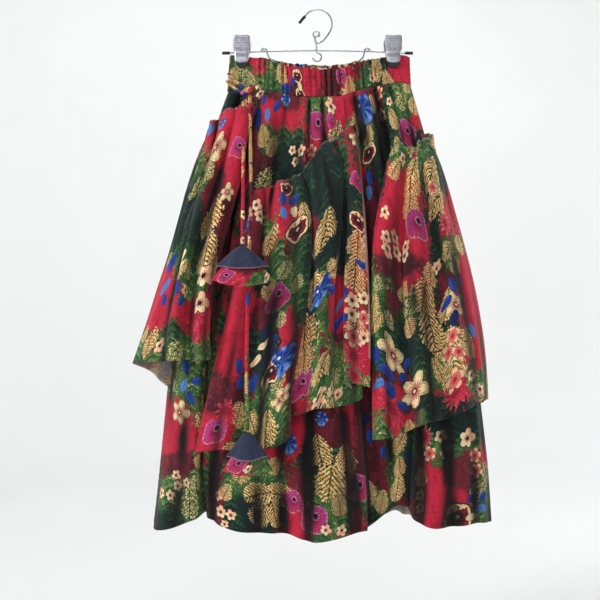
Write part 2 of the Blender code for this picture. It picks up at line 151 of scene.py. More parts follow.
RIGHT_FOLDS = (
    ("front_edge", 138, -253, 101, 94, 95, -769, 60, 76),
    ("front_peak", 147, -259, 119, 117, 118, -763, 80, 94),
    ("valley_1", 157, -261, 148, 149, 156, -754, 54, 70),
    ("peak_2", 166, -260, 169, 179, 190, -737, 80, 92),
    ("valley_2", 176, -256, 201, 215, 222, -734, 52, 68),
    ("peak_3", 185, -249, 217, 239, 251, -719, 66, 78),
    ("side_peak", 193, -239, 235, 267, 282, -709, 38, 46),
    ("side", 199, -230, 249, 290, 308, -707, 4, 1),
    ("back_turn", 193, -227, 245, 284, 300, -720, -46, -56),
    ("back_valley", 178, -233, 216, 250, 267, -739, -44, -58),
    ("back_peak", 152, -244, 186, 211, 222, -758, -72, -84),
    ("back_valley_2", 123, -255, 141, 155, 161, -762, -50, -62),
    ("back_peak_2", 90, -265, 100, 106, 107, -770, -74, -86),
    ("back_valley_3", 53, -276, 54, 55, 55, -768, -52, -64),
    ("back_edge", 10, -284, 9, 8, 7, -771, -56, -70),
)
# The same columns for the centre ruffle, from its left free edge to its right one.
CENTRE_FOLDS = (
    ("left_edge", -116, -339, -142, -178, -211, -789, 64, 82),
    ("peak_1", -103, -335, -122, -145, -165, -782, 80, 98),
    ("valley_1", -91, -330, -102, -117, -130, -788, 58, 76),
    ("peak_2", -73, -327, -77, -88, -95, -782, 80, 98),
    ("edge_2", -35, -314, -24, -45, -56, -765, 88, 102),
    ("valley_2", -25, -303, -20, -41, -61, -735, 56, 72),
    ("left_3", -12, -287, -13, -28, -37, -726, 68, 84),
    ("peak_3", 4, -266, 5, -4, -6, -713, 82, 96),
    ("edge_3", 27, -249, 31, 20, 19, -711, 82, 96),
    ("valley_3", 35, -243, 34, 27, 29, -712, 54, 72),
    ("lobe", 47, -235, 47, 51, 61, -705, 64, 78),
    ("lobe_end", 54, -227, 65, 71, 74, -692, 50, 70),
    ("strip_left", 60, -223, 56, 47, 47, -669, 72, 90),
    ("right_edge", 68, -216, 81, 88, 88, -677, 62, 84),
)

# Ties, as points (x, out, z) down each one.
TIE_UPPER = ((-162, 7, -117), (-153, 10, -127), (-143, 14, -136), (-133, 17, -145))
TIE_LOWER = ((-165, 7, -130), (-156, 10, -139), (-147, 13, -147), (-137, 16, -153))
CORD_SHORT = ((-133, 20, -171), (-133, 34, -205), (-131, 54, -262), (-130, 84, -366), (-129, 110, -434))
CORD_LONG = (
    (-122, 22, -161), (-121, 34, -200), (-119, 50, -262), (-117, 72, -352),
    (-119, 86, -440), (-121, 96, -527), (-122, 112, -646), (-120, 122, -745),
)
CORD_SHORT_LENGTH, CORD_LONG_LENGTH = 0.282, 0.596
TIE_KNOT = ((-136, 24, -160), (-131.5, 25.5, -156.5), (-121, 25.5, -148.5), (-116.5, 24, -145))
# Tassels: name, apex (x, out, z), half width and half depth of the hem, height, drop of the corners, lobes
TASSELS = (
    ("tassel_upper_lining", (-129, 113, -439), 39, 13, 36, -4, 3),
    ("tassel_upper_cloth", (-129, 113, -446), 47, 9.5, 58, -9, 4),
    ("tassel_lower_lining", (-120, 124, -750), 30, 13, 44, -6, 2),
    ("tassel_lower_cloth", (-119, 124, -757), 36, 9.5, 62, -6, 3),
)

# Where the print's grounds lie on each sheet, as seen from the camera on the hanger's plane.
#  ground: x, z, half width and half height
GROUNDS = {
    "ties": {
        "crimson": ((-130, -154, 15, 16), (-134, -338, 7, 33), (-125, -582, 7, 73),),
        "maroon": ((-130, -200, 5, 15), (-125, -372, 7, 55), (-141, -136, 15, 15),),
        "dark": ((-119, -254, 7, 55),),
        "green": ((-125, -709, 7, 55),),
    },
    "tassels": {
        "crimson": ((-156, -487, 25, 15), (-141, -822, 22, 22),),
        "green": ((-101, -494, 22, 15), (-101, -829, 25, 15),),
        "maroon": ((-123, -472, 15, 11),),
    },
    "waistband": {
        "green": ((-136, -130, 29, 25), (-86, -123, 16, 36), (85, -123, 13, 29),),
        "crimson": (
            (-105, -101, 13, 15), (-50, -108, 7, 18), (-12, -130, 16, 29), (54, -118, 11, 22),
            (150, -108, 16, 25),
        ),
        "maroon": ((21, -130, 15, 29), (72, -108, 7, 15), (-39, -145, 9, 9),),
        "dark": ((112, -112, 18, 25), (-156, -141, 11, 22),),
    },
    "body_front": {
        "dark": (
            (-148, -163, 15, 18), (-50, -254, 33, 25), (-59, -305, 44, 40), (119, -227, 16, 55),
            (187, -245, 18, 18), (-278, -924, 22, 18), (-114, -913, 55, 29), (1, -818, 29, 29),
            (165, -851, 13, 55), (105, -920, 29, 15), (245, -755, 47, 22),
        ),
        "crimson": (
            (-119, -209, 7, 18), (-72, -196, 33, 18), (-35, -185, 11, 15), (30, -203, 15, 18),
            (50, -178, 16, 29), (190, -203, 11, 18), (-6, -258, 16, 16), (52, -300, 13, 18),
            (-254, -786, 36, 22), (-283, -755, 15, 29), (-45, -918, 15, 44), (-50, -782, 18, 25),
            (59, -778, 9, 29), (74, -929, 15, 15), (208, -880, 22, 62), (245, -891, 29, 36),
            (299, -822, 15, 11),
        ),
        "maroon": (
            (-116, -254, 11, 25), (-46, -170, 16, 13), (108, -156, 11, 29), (-101, -294, 15, 22),
            (-12, -309, 13, 33), (97, -385, 11, 40), (-250, -822, 36, 18), (-187, -873, 16, 55),
            (-41, -864, 15, 22), (23, -764, 29, 25), (81, -782, 15, 55), (106, -833, 22, 40),
            (156, -898, 11, 11), (263, -846, 36, 33),
        ),
        "green": (
            (-3, -174, 20, 25), (63, -218, 11, 15), (150, -159, 22, 29), (-86, -236, 25, 22),
            (19, -294, 22, 29), (15, -349, 18, 29), (92, -229, 11, 15), (150, -258, 18, 15),
            (-272, -658, 25, 25), (-258, -891, 44, 29), (-208, -846, 15, 51), (-123, -858, 62, 22),
            (14, -882, 40, 47), (139, -829, 15, 33), (99, -891, 25, 15), (45, -918, 15, 22),
            (223, -796, 36, 18), (303, -913, 15, 22), (299, -851, 11, 25),
        ),
    },
    "ruffle_left": {
        "crimson": (
            (-154, -227, 11, 51), (-152, -287, 9, 22), (-188, -254, 18, 29), (-288, -542, 15, 36),
            (-225, -558, 33, 27), (-225, -594, 16, 9), (-259, -500, 22, 15),
        ),
        "maroon": ((-192, -331, 18, 47), (-167, -409, 15, 55), (-185, -545, 7, 66),),
        "green": (
            (-210, -298, 13, 29), (-232, -482, 22, 47), (-247, -609, 47, 25), (-278, -609, 15, 25),
            (-214, -622, 22, 15),
        ),
        "dark": ((-232, -378, 25, 51), (-203, -436, 18, 36), (-258, -582, 18, 15),),
    },
    "ruffle_centre": {
        "crimson": (
            (-83, -352, 11, 29), (-61, -400, 15, 29), (34, -549, 16, 51), (74, -622, 22, 29),
            (-32, -682, 15, 29), (-57, -582, 11, 29), (-123, -527, 15, 25), (-159, -596, 29, 91),
            (-174, -755, 29, 22), (-61, -680, 9, 9), (81, -427, 9, 15),
        ),
        "maroon": (
            (-101, -409, 11, 36), (-57, -440, 9, 15), (-10, -409, 9, 36), (37, -596, 16, 11),
            (10, -631, 9, 9), (-50, -665, 9, 55), (-105, -560, 22, 29), (-163, -698, 33, 40),
            (-123, -687, 9, 29), (-112, -427, 11, 36),
        ),
        "green": (
            (-86, -403, 13, 25), (-70, -462, 15, 40), (-39, -476, 16, 62), (15, -536, 7, 73),
            (35, -647, 18, 40), (59, -665, 15, 15), (41, -700, 40, 18), (1, -658, 16, 47),
            (-74, -549, 15, 22), (-76, -709, 18, 40), (-108, -731, 25, 44), (-137, -760, 18, 29),
        ),
        "dark": (
            (-17, -458, 15, 66), (-3, -327, 25, 47), (5, -451, 18, 40), (-94, -593, 25, 22),
            (-101, -647, 25, 36), (-123, -782, 18, 18), (-105, -482, 15, 22),
        ),
        "slate": ((41, -422, 22, 47),),
    },
    "ruffle_right": {
        "green": (
            (150, -265, 18, 15), (114, -545, 18, 66), (168, -549, 22, 47), (236, -429, 15, 25),
            (259, -600, 36, 18), (223, -664, 29, 33), (288, -676, 18, 22), (114, -760, 15, 22),
            (172, -764, 15, 11),
        ),
        "dark": (
            (114, -309, 15, 25), (165, -609, 55, 51), (216, -418, 11, 73), (223, -718, 51, 22),
            (250, -582, 15, 15),
        ),
        "crimson": (
            (141, -336, 22, 47), (136, -403, 36, 40), (190, -427, 22, 25), (176, -494, 22, 33),
            (270, -536, 15, 66), (285, -609, 15, 44), (252, -698, 29, 18), (128, -705, 29, 25),
            (141, -746, 29, 25), (234, -389, 15, 22),
        ),
        "maroon": (
            (150, -465, 47, 22), (139, -527, 16, 33), (234, -505, 15, 25), (141, -665, 18, 18),
            (168, -731, 15, 18),
        ),
    },
}
# The print's flowers and leaves, placed the same way. Tone picks among the colours of a kind.
#  kind: x, z, radius, turn in degrees, tone
MOTIFS = {
    "ties": {
        "fern": (
            (-134, -203, 16, 90, 0.5), (-134, -232, 21, 90, 0.9), (-134, -263, 21, 90, 0.8),
            (-134, -294, 18, 90, 0.5), (-152, -125, 18, 140, 0.9), (-141, -138, 14, 140, 0.8),
            (-125, -436, 16, 90, 0.5), (-125, -673, 18, 90, 0.7),
        ),
        "blossom": ((-134, -372, 11, 0, 0.5), (-134, -418, 9, 0, 0.3),),
        "poppy": ((-123, -372, 14, 0, 0.5),),
        "leaf": ((-123, -527, 13, 90, 0.1),),
    },
    "tassels": {
        "poppy": ((-170, -483, 16, 0, 0.5), (-148, -826, 18, 0, 0.5),),
        "star": ((-145, -498, 14, 0, 0.5),),
        "leaf": ((-108, -502, 11, 0, 0.7), (-112, -829, 14, 10, 0.7),),
        "blossom": ((-94, -487, 11, 0, 0.5), (-126, -836, 9, 0, 0.5),),
    },
    "waistband": {
        "star": ((-105, -103, 14, 0, 0.5),),
        "fern": (
            (-65, -114, 21, 80, 0.8), (59, -138, 21, 90, 0.9), (106, -105, 25, 70, 0.5),
            (126, -127, 21, 100, 0.8), (-152, -119, 18, 60, 0.6),
        ),
        "pansy": ((-37, -119, 14, 0, 0.3), (-32, -152, 13, 40, 0.6),),
        "leaf": (
            (-57, -141, 14, 10, 0.1), (-45, -129, 9, 60, 0.1), (-32, -139, 9, 100, 0.9),
            (-66, -159, 13, 20, 0.9), (-54, -163, 9, 70, 0.1),
        ),
        "poppy": ((43, -119, 16, 0, 0.5),),
        "blossom": ((99, -123, 11, 0, 0.5), (-108, -150, 11, 0, 0.4), (46, -149, 9, 0, 0.2),),
    },
    "body_front": {
        "fern": (
            (-136, -185, 23, 90, 0.5), (99, -167, 18, 80, 0.9), (174, -174, 21, 60, 0.7),
            (187, -258, 23, 40, 0.6), (34, -225, 30, 60, 0.3), (14, -363, 25, 80, 0.7),
            (26, -403, 32, 60, 0.6), (-97, -309, 28, 70, 0.2), (-232, -897, 28, 90, 0.2),
            (-105, -880, 30, 20, 0.7), (-65, -880, 30, 0, 0.8), (-101, -913, 25, 60, 0.6),
            (-79, -918, 23, 100, 0.7), (23, -855, 41, 80, 0.5), (5, -809, 32, 100, 0.7),
            (50, -818, 28, 90, 0.9), (145, -867, 23, 80, 0.8), (150, -829, 18, 90, 0.9),
            (187, -851, 18, 90, 0.8), (292, -869, 21, 30, 0.3),
        ),
        "leaf": (
            (-110, -196, 23, 100, 0.15), (-90, -189, 13, 80, 0.35), (-74, -174, 13, 60, 0.1),
            (-96, -163, 11, 90, 0.1), (-108, -170, 9, 60, 0.7), (6, -278, 11, 80, 0.3),
            (94, -305, 14, 90, 0.1), (94, -331, 14, 80, 0.3), (-241, -651, 14, 100, 0.1),
            (-245, -680, 13, 60, 0.3), (-221, -678, 11, 20, 0.1), (-232, -702, 13, 120, 0.15),
            (-263, -682, 14, 100, 0.9), (88, -746, 13, 60, 0.5), (97, -778, 14, 90, 0.15),
            (119, -804, 11, 90, 0.15), (167, -813, 14, 90, 0.5), (219, -824, 14, 0, 0.7),
            (252, -811, 11, 20, 0.7), (283, -889, 13, 20, 0.1), (303, -882, 11, 60, 0.1),
            (298, -904, 13, 0, 0.3), (278, -922, 11, 10, 0.9),
        ),
        "bell": (
            (-57, -159, 16, 0, 0.4), (83, -179, 34, 0, 0.5), (52, -260, 23, 20, 0.6),
            (14, -254, 13, 80, 0.4), (-52, -787, 20, 0, 0.5), (5, -742, 14, 0, 0.4),
        ),
        "blossom": (
            (-105, -152, 14, 0, 0.5), (25, -174, 16, 30, 0.6), (23, -156, 11, 0, 0.3),
            (110, -149, 14, 0, 0.7), (117, -192, 14, 20, 0.4), (130, -163, 11, 0, 0.5),
            (-46, -258, 11, 0, 0.5), (-30, -258, 13, 40, 0.5), (-41, -278, 11, 70, 0.5),
            (-12, -254, 13, 10, 0.8), (26, -280, 14, 0, 0.3), (54, -316, 14, 0, 0.8),
            (48, -340, 11, 40, 0.6), (-259, -849, 11, 0, 0.5), (-254, -867, 11, 20, 0.5),
            (-268, -884, 11, 40, 0.5), (-287, -880, 11, 60, 0.5), (-238, -860, 9, 10, 0.4),
            (-183, -886, 11, 0, 0.5), (-176, -911, 13, 20, 0.5), (-159, -922, 11, 40, 0.5),
            (-170, -935, 9, 60, 0.5), (223, -778, 14, 0, 0.5), (272, -778, 20, 20, 0.5),
            (205, -807, 14, 10, 0.7), (234, -807, 13, 40, 0.6), (288, -813, 14, 0, 0.8),
            (288, -835, 14, 30, 0.7), (187, -884, 11, 0, 0.4), (188, -906, 11, 30, 0.4),
            (46, -946, 11, 0, 0.4), (14, -946, 11, 0, 0.5),
        ),
        "poppy": (
            (-1, -212, 31, 0, 0.5), (26, -203, 16, 0, 0.2), (163, -223, 27, 0, 0.8),
            (-45, -891, 22, 0, 0.3), (-8, -928, 29, 0, 0.6), (77, -869, 27, 0, 0.7),
        ),
        "pansy": ((94, -260, 20, 0, 0.8), (256, -924, 31, 20, 0.6),),
        "lily": ((-250, -733, 25, 10, 0.5),),
        "star": ((-208, -818, 14, 0, 0.4), (74, -929, 16, 0, 0.5), (192, -778, 22, 20, 0.8),),
    },
    "ruffle_left": {
        "bell": ((-174, -203, 14, 0, 0.5),),
        "lily": ((-187, -250, 36, 0, 0.3), (-165, -329, 18, 0, 0.7),),
        "poppy": ((-145, -247, 22, 0, 0.6),),
        "fern": (
            (-192, -372, 39, 100, 0.7), (-203, -436, 37, 100, 0.8), (-250, -472, 18, 60, 0.7),
            (-187, -458, 23, 90, 0.6), (-259, -618, 23, 60, 0.2), (-163, -458, 23, 90, 0.7),
        ),
        "leaf": (
            (-245, -447, 11, 90, 0.9), (-256, -465, 9, 60, 0.9), (-265, -458, 16, 110, 0.1),
            (-276, -502, 14, 80, 0.3), (-258, -505, 16, 120, 0.1), (-279, -527, 11, 90, 0.1),
            (-247, -527, 11, 60, 0.1), (-216, -618, 11, 30, 0.7), (-196, -218, 14, 60, 0.3),
        ),
        "blossom": (
            (-207, -482, 23, 0, 0.5), (-216, -531, 22, 30, 0.5), (-239, -511, 13, 0, 0.4),
            (-287, -609, 13, 0, 0.4),
        ),
        "star": ((-225, -558, 29, 0, 0.5), (-227, -594, 16, 0, 0.5),),
    },
    "ruffle_centre": {
        "blossom": (
            (-112, -354, 14, 0, 0.5), (-103, -374, 14, 40, 0.6), (1, -704, 13, 60, 0.3),
            (28, -687, 13, 0, 0.4), (37, -702, 11, 30, 0.4), (63, -527, 16, 0, 0.6),
            (85, -527, 14, 30, 0.5), (63, -553, 16, 40, 0.6), (85, -560, 14, 0, 0.7),
            (66, -594, 20, 20, 0.7), (86, -596, 14, 60, 0.5), (5, -718, 11, 0, 0.5),
        ),
        "leaf": (
            (-65, -341, 13, 90, 0.1), (-61, -369, 11, 90, 0.3), (-45, -349, 14, 0, 0.1),
            (-43, -367, 11, 90, 0.9), (-90, -573, 16, 20, 0.5), (-83, -596, 11, 0, 0.15),
            (-101, -613, 11, 10, 0.9), (-112, -636, 13, 20, 0.9), (-86, -625, 14, 0, 0.5),
            (-96, -685, 11, 80, 0.9), (30, -513, 13, 30, 0.1), (46, -511, 11, 120, 0.1),
            (39, -534, 11, 10, 0.3), (35, -576, 16, 0, 0.15), (50, -556, 9, 90, 0.1),
            (81, -462, 11, 0, 0.1), (-141, -647, 14, 90, 0.1), (-141, -680, 13, 80, 0.1),
            (-117, -680, 16, 90, 0.1), (59, -695, 14, 0, 0.7),
        ),
        "pansy": (
            (-56, -325, 16, 0, 0.3), (-37, -402, 22, 0, 0.5), (-86, -656, 22, 0, 0.7),
            (74, -385, 18, 0, 0.2),
        ),
        "fern": (
            (-19, -372, 23, 80, 0.5), (14, -396, 32, 90, 0.6), (-94, -760, 32, 90, 0.7),
            (-10, -509, 28, 100, 0.5), (-23, -591, 39, 95, 0.9), (-25, -633, 28, 95, 0.9),
            (72, -427, 28, 90, 0.9), (68, -476, 32, 90, 0.9), (72, -573, 28, 90, 0.9),
            (32, -469, 21, 60, 0.4), (-145, -736, 23, 80, 0.5),
        ),
        "poppy": (
            (-72, -518, 25, 20, 0.4), (-28, -680, 23, 0, 0.6), (74, -312, 16, 0, 0.7),
            (-188, -764, 25, 0, 0.6), (-126, -682, 11, 0, 0.5),
        ),
        "bell": ((-63, -644, 29, 0, 0.7), (5, -511, 22, 0, 0.4), (-156, -396, 16, 90, 0.2),),
        "lily": ((-66, -709, 20, 30, 0.8), (72, -236, 18, 90, 0.4), (88, -418, 14, 90, 0.3),),
        "star": ((66, -631, 25, 0, 0.5), (66, -665, 18, 0, 0.5), (-167, -727, 25, 0, 0.5),),
    },
    "ruffle_right": {
        "blossom": (
            (157, -269, 13, 0, 0.4), (176, -265, 13, 20, 0.7), (208, -320, 13, 0, 0.7),
            (125, -414, 13, 0, 0.4), (141, -411, 13, 30, 0.4), (126, -436, 14, 50, 0.4),
            (145, -438, 14, 10, 0.4), (159, -429, 13, 80, 0.4), (157, -447, 13, 60, 0.5),
            (245, -594, 16, 0, 0.8), (238, -624, 16, 20, 0.7), (259, -622, 16, 40, 0.7),
            (248, -671, 20, 0, 0.8), (281, -665, 13, 0, 0.5), (296, -687, 13, 20, 0.3),
            (216, -469, 13, 0, 0.2), (121, -367, 13, 0, 0.4),
        ),
        "fern": (
            (172, -305, 39, 80, 0.7), (168, -345, 28, 80, 0.8), (208, -294, 37, 60, 0.6),
            (219, -341, 32, 40, 0.8), (207, -480, 23, 80, 0.9), (194, -522, 37, 70, 0.8),
            (208, -582, 41, 100, 0.6), (234, -538, 28, 60, 0.8), (250, -463, 18, 60, 0.8),
            (230, -609, 32, 20, 0.8), (263, -596, 30, 160, 0.8), (248, -647, 37, 80, 0.5),
            (296, -695, 23, 30, 0.3), (172, -527, 28, 60, 0.2), (223, -658, 23, 120, 0.4),
            (139, -290, 21, 70, 0.4), (279, -618, 18, 60, 0.8), (238, -436, 21, 60, 0.6),
        ),
        "star": ((234, -389, 22, 0, 0.7), (252, -695, 31, 0, 0.5), (136, -727, 32, 0, 0.5),),
        "poppy": ((181, -385, 31, 0, 0.5),),
        "leaf": (
            (247, -498, 14, 100, 0.1), (259, -494, 11, 90, 0.3), (234, -533, 14, 0, 0.15),
            (250, -560, 14, 60, 0.5), (285, -640, 9, 90, 0.7), (106, -629, 16, 100, 0.1),
            (125, -653, 16, 0, 0.1), (163, -644, 11, 60, 0.1), (110, -676, 14, 0, 0.3),
            (132, -691, 16, 60, 0.1), (154, -718, 13, 20, 0.1), (154, -669, 11, 60, 0.1),
            (187, -738, 14, 90, 0.7), (281, -582, 13, 100, 0.3),
        ),
        "lily": ((254, -536, 27, 0, 0.6), (137, -629, 31, 20, 0.8), (176, -691, 34, 0, 0.5),),
    },
}

# Creases pressed into the cloth besides its folds, across each sheet from left to right as it is seen from
# outside. Each runs from one place to another, given as shares across and down.
# A ridge has a positive depth.
#  across from, down from, across to, down to, half width, depth
CREASES = {
    "body_front": (
        (0.06, 0.05, 0.05, 0.6, 9, -5.3), (0.11, 0.45, 0.13, 0.97, 12, 6.2),
        (0.17, 0.1, 0.18, 0.55, 8, -5.8), (0.24, 0.5, 0.25, 1, 11, -7.2),
        (0.31, 0.06, 0.3, 0.42, 7, -4.8), (0.36, 0.62, 0.38, 1, 13, 7.2),
        (0.43, 0.05, 0.45, 0.36, 7, 5.3), (0.47, 0.6, 0.46, 1, 12, -7.7),
        (0.52, 0.04, 0.53, 0.3, 6, -4.8), (0.57, 0.66, 0.59, 1, 12, 7.2),
        (0.61, 0.05, 0.62, 0.4, 7, -5.8), (0.68, 0.55, 0.69, 0.98, 10, -6.2),
        (0.73, 0.04, 0.74, 0.34, 7, 4.8), (0.8, 0.6, 0.81, 1, 14, -7.7), (0.86, 0.55, 0.88, 1, 15, -6.7),
        (0.92, 0.08, 0.94, 0.52, 9, -5.3), (0.95, 0.58, 0.96, 1, 11, 5.8),
    ),
    "body_back": (
        (0.05, 0.04, 0.06, 0.58, 9, -5.8), (0.12, 0.3, 0.13, 1, 13, 7.2),
        (0.2, 0.04, 0.21, 0.46, 8, -5.3), (0.27, 0.48, 0.26, 1, 12, -7.2),
        (0.34, 0.05, 0.33, 0.6, 8, 5.8), (0.42, 0.4, 0.44, 1, 13, -7.7), (0.49, 0.03, 0.49, 0.5, 8, -5.8),
        (0.56, 0.52, 0.57, 1, 12, 7.2), (0.63, 0.05, 0.64, 0.55, 8, -5.3),
        (0.71, 0.45, 0.72, 1, 14, -7.2), (0.78, 0.04, 0.78, 0.48, 8, 5.3), (0.86, 0.5, 0.87, 1, 12, -6.7),
        (0.94, 0.1, 0.95, 0.7, 10, 5.8),
    ),
    "ruffle_left": (
        (0.06, 0.1, 0.07, 0.9, 10, -4.4), (0.14, 0.45, 0.15, 1, 11, 4.8),
        (0.23, 0.08, 0.24, 0.7, 9, -4.1), (0.33, 0.3, 0.32, 1, 12, -5.1), (0.42, 0.05, 0.42, 0.6, 8, 3.7),
        (0.5, 0.35, 0.51, 1, 10, -3.7), (0.58, 0.1, 0.6, 0.8, 9, 4.1), (0.66, 0.3, 0.66, 1, 9, -4.4),
        (0.74, 0.06, 0.73, 0.66, 7, 3.4), (0.8, 0.4, 0.81, 1, 8, -4.4), (0.88, 0.1, 0.88, 0.85, 7, -3.7),
        (0.95, 0.35, 0.95, 1, 7, 3.7),
    ),
    "ruffle_centre": (
        (0.07, 0.3, 0.08, 1, 10, -4.8), (0.16, 0.04, 0.17, 0.62, 8, 4.1), (0.24, 0.35, 0.25, 1, 9, -4.4),
        (0.33, 0.05, 0.34, 0.7, 8, -4.1), (0.41, 0.4, 0.4, 1, 9, 4.8), (0.5, 0.06, 0.5, 0.6, 7, -3.7),
        (0.59, 0.2, 0.58, 1, 8, 3.7), (0.67, 0.05, 0.68, 0.72, 7, -4.1), (0.76, 0.35, 0.77, 1, 8, -3.7),
        (0.84, 0.05, 0.84, 0.65, 7, 3.4), (0.93, 0.3, 0.94, 1, 8, -3.1),
    ),
    "ruffle_right": (
        (0.05, 0.25, 0.05, 1, 9, -4.1), (0.12, 0.05, 0.13, 0.75, 9, 4.4), (0.2, 0.38, 0.19, 1, 11, -4.8),
        (0.28, 0.04, 0.29, 0.6, 8, -4.1), (0.36, 0.3, 0.37, 1, 11, 5.1), (0.44, 0.08, 0.45, 0.8, 9, -4.1),
        (0.53, 0.35, 0.53, 1, 10, -4.1), (0.61, 0.06, 0.62, 0.7, 9, 4.1), (0.7, 0.3, 0.7, 1, 11, -5.1),
        (0.79, 0.05, 0.8, 0.66, 8, 3.7), (0.88, 0.3, 0.87, 1, 10, -4.4), (0.95, 0.1, 0.96, 0.8, 8, 3.4),
    ),
}

# ---- the print's colours, as the cloth shows them in plain light ----
CRIMSON, CRIMSON_DEEP, SCARLET, CORAL = "#C8243F", "#9A1B30", "#DE4E5C", "#E2506A"
MAROON, MAROON_DEEP = "#641E2B", "#3A1119"
GREEN, GREEN_LIGHT = "#2F5C33", "#7C984A"
DARK_GREEN, SLATE = "#182F20", "#122225"
GOLD, GOLD_LIGHT, COPPER, UMBER = "#D6A04A", "#FFE2AA", "#B86A2A", "#2E2015"
CREAM, PEACH, MILK, THROAT = "#FFE2B0", "#F8B692", "#FAEED8", "#7C1834"
MAGENTA, MAGENTA_DEEP, PINK, ROSE_WHITE, EYE = "#AE2E72", "#B02446", "#D4609E", "#EDBBD4", "#1C0C14"
BLUE, BLUE_MIDDLE, BLUE_LIGHT, BLUE_DEEP = "#1F3C96", "#3B66C4", "#5C90D6", "#122259"
BLUE_PALE, GLINT = "#A9C4EC", "#E6ECF6"
# SHADOW is no colour of the print: it is the dark that the wear and the painted furrow shade mix in.
PALE_REVERSE, SHADOW = "#A9A098", "#070606"
NAVY, NAVY_WORN, NAVY_EDGE = "#222A44", "#39415E", "#B08C90"


# ---- grids of cloth ----
def through(knots, parts, before=None, after=None):
    """A smooth line through the knots of each row, with that many parts between neighbours."""
    if before is None:
        before = 2 * knots[:, 0] - knots[:, 1]
    if after is None:
        after = 2 * knots[:, -1] - knots[:, -2]
    line = np.concatenate([before[:, None], knots, after[:, None]], axis=1)
    a, b, c, d = (line[:, i: line.shape[1] - 3 + i, None] for i in range(4))
    t = (np.arange(parts) / parts)[None, None, :, None]
    curve = 2 * b + (c - a) * t + (2 * a - 5 * b + 4 * c - d) * t**2 + (3 * b - a - 3 * c + d) * t**3
    found = (0.5 * curve).reshape(len(knots), -1, 3)
    return np.concatenate([found, knots[:, -1:]], axis=1)


def between(share, values):
    """A value along a fold line from its values at the seam, a third, two thirds and the hem."""
    places = (0, 1 / 3, 2 / 3, 1)
    total = 0.0
    for place, value in zip(places, values):
        others = [p for p in places if p != place]
        total = total + value * math.prod((share - p) / (place - p) for p in others)
    return total


def opened(share, seam, middle, hem):
    """How far out a fold stands: it opens quickly below the seam and slowly after."""
    depth, half = share**0.6, 0.5**0.6
    return (
        seam * (depth - half) * (depth - 1) / half
        + middle * depth * (depth - 1) / (half * (half - 1))
        + hem * depth * (depth - half) / (1 - half)
    )


def waist_seam(x):
    """The height and the depth of the waistband's bottom edge at x."""
    band = np.array(WAISTBAND)
    return np.interp(x, band[:, 2], band[:, 3]), np.interp(x, band[:, 2], band[:, 4])


def body_rows(shares, back, parts):
    """The body's cloth at those shares of the way down, as points (x, out, z)."""
    knots = []
    for name, x0, x1, x2, x3, hem_z, middle, hem in BODY_FOLDS:
        seam_z, seam_out = waist_seam(x0)
        at_side = name in ("side_left", "side_right")
        out = opened(shares, max(seam_out + 0.5, 0.6), middle, hem)
        if at_side:
            out = np.full_like(shares, 0.6)
        if back:
            out = out * (-1 if at_side else -BACK_DEPTH)
            hem_z = (hem_z + 2 * BACK_HEM) / 3
        x = between(shares, (x0, x1, x2, x3))
        knots.append(np.stack([x, out, seam_z - SEAM_GAP + (hem_z - seam_z) * shares], axis=-1))
    knots = np.stack(knots, axis=1)
    rows = through(knots, parts, knots[:, 1] * (1, -1, 1), knots[:, -2] * (1, -1, 1))
    return rows[:, ::-1] if back else rows


def body_out(x, z):
    """How far out the body's outer face stands at x and z, on the front."""
    seam_z, _ = waist_seam(x)
    share = min(max((seam_z - z) / (seam_z + 930), 0.0), 1.0)
    row = body_rows(np.array([share]), False, 4)[0]
    return float(np.interp(x, row[:, 0], row[:, 1])) + CLOTH


def ruffle_rows(folds, shares, parts):
    """A ruffle's cloth from its gathered seam, which lies on the body, down to its hem."""
    knots = []
    for _, seam_x, seam_z, x1, x2, hem_x, hem_z, middle, hem in folds:
        seam = body_out(seam_x, seam_z) + RUFFLE_GAP
        side = 1 if middle > 0 else -1
        if abs(middle) < 10:
            seam = 0.0
        out = opened(shares, side * seam, middle, hem)
        x = between(shares, (seam_x, x1, x2, hem_x))
        knots.append(np.stack([x, out, seam_z + (hem_z - seam_z) * shares], axis=-1))
    return through(np.stack(knots, axis=1), parts)


def band_rows(shares, parts):
    """The waistband's cloth, front then back, as a ring whose last column repeats its first."""
    front, back = [], []
    for x_top, z_top, x_bottom, z_bottom, out in WAISTBAND:
        x = x_top + (x_bottom - x_top) * shares
        z = z_top + (z_bottom - z_top) * shares
        rise = BACK_EDGE_RISE * (1 - shares) * min(out / 16, 1)
        front.append(np.stack([x, np.full_like(x, out), z], axis=-1))
        back.append(np.stack([x, np.full_like(x, -out), z + rise], axis=-1))
    ring = np.stack(front + back[::-1] + front[:1], axis=1)
    return through(ring, parts, ring[:, -2], ring[:, 1])


def tassel_rows(shares, around, apex, half_width, half_depth, corner_drop, height, lobes):
    """A small cloth cone that hangs from its apex, with folds that open towards the hem."""
    neck = 4.2
    angle = -2 * math.pi * np.arange(around + 1)[None, :] / around
    share = shares[:, None]
    grown = share**0.8
    fold = 1 + 0.12 * grown * np.cos(2 * lobes * angle)
    fold = fold + 0.05 * grown**2 * np.cos((4 * lobes + 1) * angle + 1)
    x = apex[0] + (neck + (half_width - neck) * grown) * fold * np.cos(angle)
    out = apex[1] - (neck + (half_depth - neck) * grown) * fold * np.sin(angle)
    z = apex[2] - share * (height + corner_drop * np.cos(angle) ** 2)
    return np.stack([x, out, z], axis=-1)[:, ::-1]


def facing(grid, closed):
    """The unit vectors that point out of the cloth."""
    if closed:
        ring = np.concatenate([grid[:, -2:-1], grid, grid[:, 1:2]], axis=1)
        across = (ring[:, 2:] - ring[:, :-2]) / 2
    else:
        across = np.gradient(grid, axis=1)
    normal = np.cross(np.gradient(grid, axis=0), across)
    return normal / np.maximum(np.linalg.norm(normal, axis=2, keepdims=True), 1e-9)


